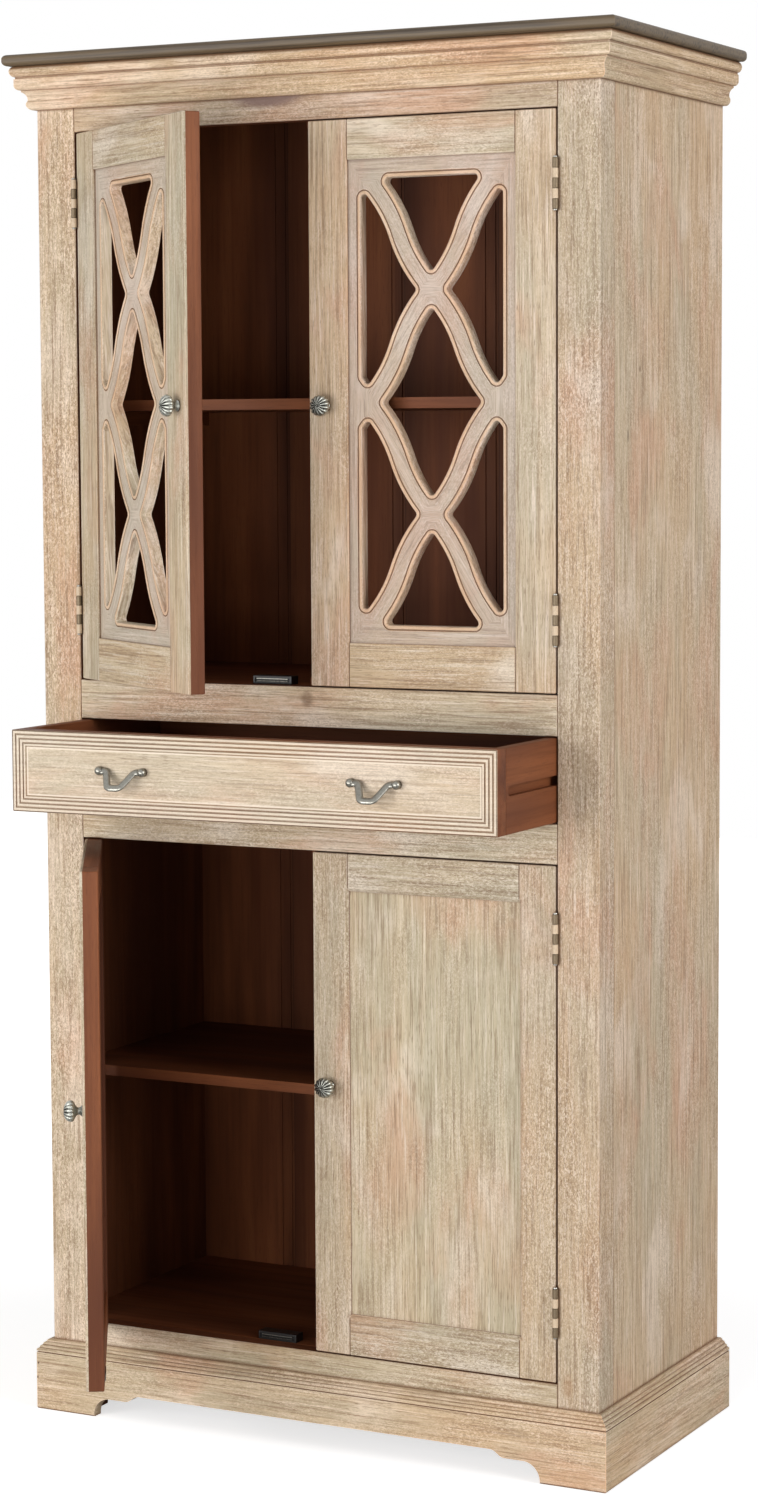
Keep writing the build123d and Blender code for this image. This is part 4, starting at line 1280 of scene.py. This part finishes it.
# %% [markdown]
# The mouldings and the top board keep the shape that the construction gives them. Their copies are only
# merged, so that the light can run smoothly round the beads and coves.

# %% The mouldings and the top board
for node in ("cornice_front", "cornice_right", "cornice_left", "skirt_front", "skirt_right", "skirt_left",
             "top_board"):
    moulding = copy_of(node, node)
    edit(moulding)
    bpy.ops.mesh.select_all(action="SELECT")
    bpy.ops.mesh.dissolve_limited(angle_limit=math.radians(0.4))
    done()
    smoothed(moulding, 26)
    settled(moulding, f"{node}_smooth", "carcass", node)
    print(node, len(moulding.data.polygons), "faces")

# %% [markdown]
# Each board has a tone of its own, which multiplies its colour. The tones are partly the boards' own
# colour and partly painted light: the middle and lower rails and the front of the cornice are lightened
# where shade falls on them. A few have marks too: a knot in the middle rail, a purplish grey patch on
# the top rail, a rusty spot at the foot of the right-hand post, a small knot and a check in the side,
# and two nail holes in the skirt.

# %% Finish the wood of the carcass
knot_brown = paint(122, 94, 70)
# A purplish grey patch, darker than the wood round it, laid on the top rail.
purple_grey_patch = paint(128, 104, 98)
rust = paint(150, 100, 52)
hole_brown = paint(70, 46, 30)
marks = {
    "middle_rail": (((-0.0056, door_front, 1.0691), (0.013, 0.02, 0.015), knot_brown, 0.6),),
    "top_rail": (((-0.062, door_front, 1.902), (0.075, 0.02, 0.018), purple_grey_patch, 0.9),),
    "right_front_post": (((0.3939, door_front, 0.1358), (0.011, 0.02, 0.022), rust, 0.3),),
    "right_side_panel": (((0.44, 0.078, 1.5241), (0.02, 0.004, 0.006), knot_brown, 0.8),
                         ((0.44, 0.0367, 1.4333), (0.02, 0.0022, 0.012), hole_brown, 0.8)),
    "skirt_front": (((-0.4561, door_front - 0.019, 0.069), (0.002, 0.02, 0.002), hole_brown, 0.9),
                    ((-0.4575, door_front - 0.019, 0.0476), (0.002, 0.02, 0.002), hole_brown, 0.9)),
}
back_shift = 33
ash_grey = paint(178, 168, 158)
first_crest = 3.4
first_gap = 6.4
reed_pitch = 5.9
band_edge, fall_middle, field_edge = 20.6, 22.7, 24.7
crests = [first_crest + reed_pitch * reed for reed in range(reed_total)]
gaps = [first_gap + reed_pitch * reed for reed in range(reed_total)]
# Pale stripes on the reed crests and either side of the field's fall are painted highlights; the brown
# stripes in the gaps between reeds and on the fall are painted shade with some glaze.
reed_lines = [("from_edge", crest, 2.2, lime_and_highlight_white, 0.6) for crest in crests]
reed_lines += [("from_edge", gap, 0.9, glaze_and_shade_brown, 0.12) for gap in gaps]
reed_lines += [
    ("from_edge", band_edge, 1.6, lime_and_highlight_white, 0.6),
    ("from_edge", fall_middle, 0.9, glaze_and_shade_brown, 0.4),
    ("from_edge", field_edge, 1.6, lime_and_highlight_white, 0.8),
]
# Over the bead a peachy stripe, partly rubbed bare wood and partly a painted highlight; in the quirk painted
# shade with brown glaze; on the flat the bars' own grey tint.
bead_lines = (("from_opening", 3.2, 2.7, wear_and_highlight_peach, 0.5), ("from_opening", 6.3, 1.0, glaze_and_shade_brown, 0.4),
              ("from_opening", 9.3, 2.2, ash_grey, 0.4))
# Tones above 1 on the middle and lower rails and on the cornice's front are partly painted light over shade.
tones = {
    "bottom_rail": (0.98, 0.98, 0.96), "lower_rail": (1.06, 1.09, 1.12), "middle_rail": (1.10, 1.10, 1.12),
    "top_rail": (0.98, 0.94, 0.95), "drawer_front": (0.98, 0.97, 0.97),
    "right_front_post": (0.97, 0.95, 0.96), "left_front_post": (1.07, 1.02, 1.0),
    "right_side_panel": (0.99, 0.95, 0.94), "left_side_panel": (0.99, 0.95, 0.94),
    "cornice_front": (1.12, 1.05, 0.99), "cornice_right": (1.04, 0.98, 0.94),
    "cornice_left": (1.06, 1.0, 0.95),
    "skirt_front": (1.08, 1.01, 0.96), "skirt_right": (1.03, 0.98, 0.94), "skirt_left": (1.03, 0.98, 0.94),
}


def carcass_board(node, piece, grain, shift, limed_sides=every_side, **looks):
    """Gives a piece of the carcass limed wood with its own tone and marks."""
    finish(piece, board_material(node, grain, shift, limed_sides, tone=tones[node], marks=marks.get(node, ()),
                                 **looks))


shift = 1
for node in ("bottom_rail", "lower_rail", "middle_rail", "top_rail"):
    carcass_board(node, node, "x", shift, front_side)
    shift += 1
for hand, side in (("right", 1), ("left", -1)):
    outer = ((0, -1, 0), (side, 0, 0))
    carcass_board(f"{hand}_front_post", f"{hand}_front_post", "z", shift, outer, curl=0.55)
    carcass_board(f"{hand}_side_panel", f"{hand}_side_panel", "z", shift + 1, ((side, 0, 0),))
    carcass_board(f"cornice_{hand}", f"cornice_{hand}_smooth", "y", shift + 2, hollow_reach=0.009)
    carcass_board(f"skirt_{hand}", f"skirt_{hand}_smooth", "y", shift + 3)
    finish(f"{hand}_drawer_runner", stained_material(f"{hand}_drawer_runner", "y", shift))
    finish(f"drawer_{hand}_side", stained_material(f"drawer_{hand}_side", "y", shift + 1))
    shift += 4
carcass_board("cornice_front", "cornice_front_smooth", "x", shift, hollow_reach=0.009)
carcass_board("skirt_front", "skirt_front_smooth", "x", shift + 1)
carcass_board("drawer_front", "reeded_drawer_front", "x", shift + 2, front_side, hollow_reach=0.0022,
              lines=reed_lines)
shift += 3
for node in ("bottom_board", "lower_shelf", "drawer_dust_board", "upper_cupboard_floor", "upper_shelf",
             "door_stop_blocks", "drawer_back", "drawer_bottom"):
    finish(node, stained_material(node, "x", shift))
    shift += 1
back_board_widths = (0.162, 0.199, 0.156, 0.177)
back_joints = [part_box("back_boards")[0][0] + sum(back_board_widths[:count]) for count in (1, 2, 3, 4)]
finish("back_boards", stained_material("back_boards", "z", back_shift, back_joints))
finish("shelf_cleats", stained_material("shelf_cleats", "y", shift + 1))
shift += 2
print("the carcass took", len(tones), "limed boards")

# %% [markdown]
# The doors are limed on the front and stained on the back and the edges. Each has three tones, for its
# stiles, its rails and its panel. The left-hand doors' greyish green tone is darker too: partly their own
# tint, partly painted shade on fronts that are turned away from the light. An open door's front looks
# along its own turned direction.

# %% Finish the wood of the doors
# Greyish green and darker: partly the left doors' own tint, partly painted shade.
sage_and_shade = (0.90, 0.92, 0.93)
door_tones = {
    "upper_left_door": (sage_and_shade, sage_and_shade, (0.98, 0.97, 1.0)),
    "upper_right_door": ((1.02, 1.0, 1.02), (1.0, 1.0, 1.0), (1.03, 1.0, 1.06)),
    "lower_left_door": (sage_and_shade, sage_and_shade, sage_and_shade),
    "lower_right_door": ((0.98, 0.97, 0.98), (0.93, 0.95, 0.97), (0.96, 0.97, 0.96)),
}
for door, angle in door_angles.items():
    looks = ((-math.sin(angle), -math.cos(angle), 0),)
    stile_tone, rail_tone, panel_tone = door_tones[door]
    curl = 0.1 if "upper" in door else 0.4
    stiles, rails, panel = (f"{door}_{part}" for part in ("stiles", "rails", "panel"))
    finish(stiles, board_material(stiles, "z", shift, looks, door, curl=curl, tone=stile_tone))
    finish(rails, board_material(rails, "x", shift + 1, looks, door, curl=curl, tone=rail_tone))
    if "upper" in door:
        fretted = board_material(panel, "z", shift + 2, looks, door, "bar_grain", -0.5, panel_tone, 0.1,
                                 lines=bead_lines)
        finish(f"{door}_fretted_panel", fretted)
    else:
        finish(panel, board_material(panel, "z", shift + 2, looks, door, tone=panel_tone, curl=0.0))
    shift += 3
print(shift, "boards are finished")

# %% [markdown]
# The metals. The pulls and knobs are cast and then antiqued: dark paste stays in the hollows and is
# rubbed off the high places, which shine like pewter. Ambient occlusion finds the hollows. The pulls
# and the pole plates of the catches are the darker pewter; on the pulls its darker colour and wider
# dark hollows are partly painted reflection, standing in for the dark reflected along the strap's edges.
# The door leaves are dark bronze, the post leaves wear the limed paint of the posts, and pins and
# keepers are plain dull steel.

# %% Metal finishes
def metal_material(name, bright, dark, rough_low, rough_high, hollow_depth, metallic=1.0):
    """Metal that is dark in its hollows, with fine brushing and blotches."""
    material, tree, surface = new_material(name)
    surface.inputs["Metallic"].default_value = metallic
    here = add(tree, "TexCoord")
    hollows = add(tree, "AmbientOcclusion", samples=8, Distance=hollow_depth)
    blotches = grain_noise(tree, here.outputs["Object"], 320, 320, detail=3, roughness=0.6)
    scratches = grain_noise(tree, here.outputs["Object"], 2600, 700, detail=2)
    open_air = arithmetic(tree, "ADD", hollows.outputs["AO"], arithmetic(tree, "MULTIPLY", blotches, 0.5))
    rubbed = between(tree, open_air, 0.85, 1.30)
    colour = blend_colour(tree, rubbed, dark, bright)
    link(tree, blend_colour(tree, between(tree, scratches, 0.52, 0.75, 0.35), colour, dark),
         surface.inputs["Base Color"])
    link(tree, ranged(tree, rubbed, rough_high, rough_low), surface.inputs["Roughness"])
    bumped(tree, surface, blotches, 0.35, 0.0003)
    return material


pewter = metal_material("pewter", paint(186, 187, 178), paint(40, 37, 34), 0.36, 0.62, 0.007)
# Darker, with wider dark hollows: antique paste, and painted dark reflection along the pulls' edges.
dark_pewter = metal_material("dark_pewter", paint(150, 148, 140), paint(26, 24, 22), 0.30, 0.55, 0.009)
bronze = metal_material("dark_bronze", paint(122, 106, 84), paint(66, 54, 42), 0.5, 0.7, 0.003, 0.5)
limed_iron = metal_material("limed_hinge_paint", paint(208, 186, 158), paint(150, 126, 100), 0.5, 0.7, 0.002,
                            0.0)
steel = metal_material("dull_steel", paint(186, 184, 178), paint(112, 108, 102), 0.32, 0.5, 0.002)
black_plastic = metal_material("black_plastic", paint(30, 28, 27), paint(16, 15, 15), 0.35, 0.55, 0.003, 0.0)
for level in ("upper", "lower"):
    for hand in ("right", "left"):
        door = f"{level}_{hand}_door"
        finish(f"{door}_rosette", pewter)
        finish(f"{door}_bronze_leaves", bronze)
        finish(f"{door}_keeper", steel)
        finish(f"{hand}_post_leaves", limed_iron)
finish("cast_drawer_pulls", dark_pewter)
finish("buttoned_hinge_pins", steel)
finish("catch_pole_plates", dark_pewter)
finish("magnetic_catches", black_plastic)
print("metal is on")

# %% [markdown]
# The top board is stained a dark grey-brown, and its rounded edge is rubbed back to a paler brown.

# %% The top board's finish
top_grey = paint(96, 80, 60)
top_dark = paint(60, 48, 35)
top_worn = paint(98, 81, 58)
top_stain, tree, surface = new_material("grey_brown_top")
here = add(tree, "TexCoord")
along = add(tree, "Mapping")
along.inputs["Rotation"].default_value = grain_turns["x"]
link(tree, here.outputs["Object"], along.inputs["Vector"])
bands = grain_noise(tree, along.outputs[0], 40, 1.5, detail=3, roughness=0.6)
streaks = grain_noise(tree, along.outputs[0], 260, 6, detail=3)
colour = blend_colour(tree, between(tree, bands, 0.36, 0.64), top_dark, top_grey)
colour = blend_colour(tree, between(tree, streaks, 0.48, 0.70, 0.6), colour, top_dark)
geometry = add(tree, "NewGeometry")
upright = add(tree, "SeparateXYZ")
link(tree, geometry.outputs["Normal"], upright.inputs[0])
edge_share = between(tree, upright.outputs["Z"], 0.97, 0.75)
worn = arithmetic(tree, "MULTIPLY", edge_share, between(tree, streaks, 0.62, 0.40))
colour = blend_colour(tree, worn, colour, top_worn)
link(tree, colour, surface.inputs["Base Color"])
surface.inputs["Roughness"].default_value = 0.5
bumped(tree, surface, streaks, 0.5, pore_depth)
finish("top_board_smooth", top_stain)
print("the top is stained")
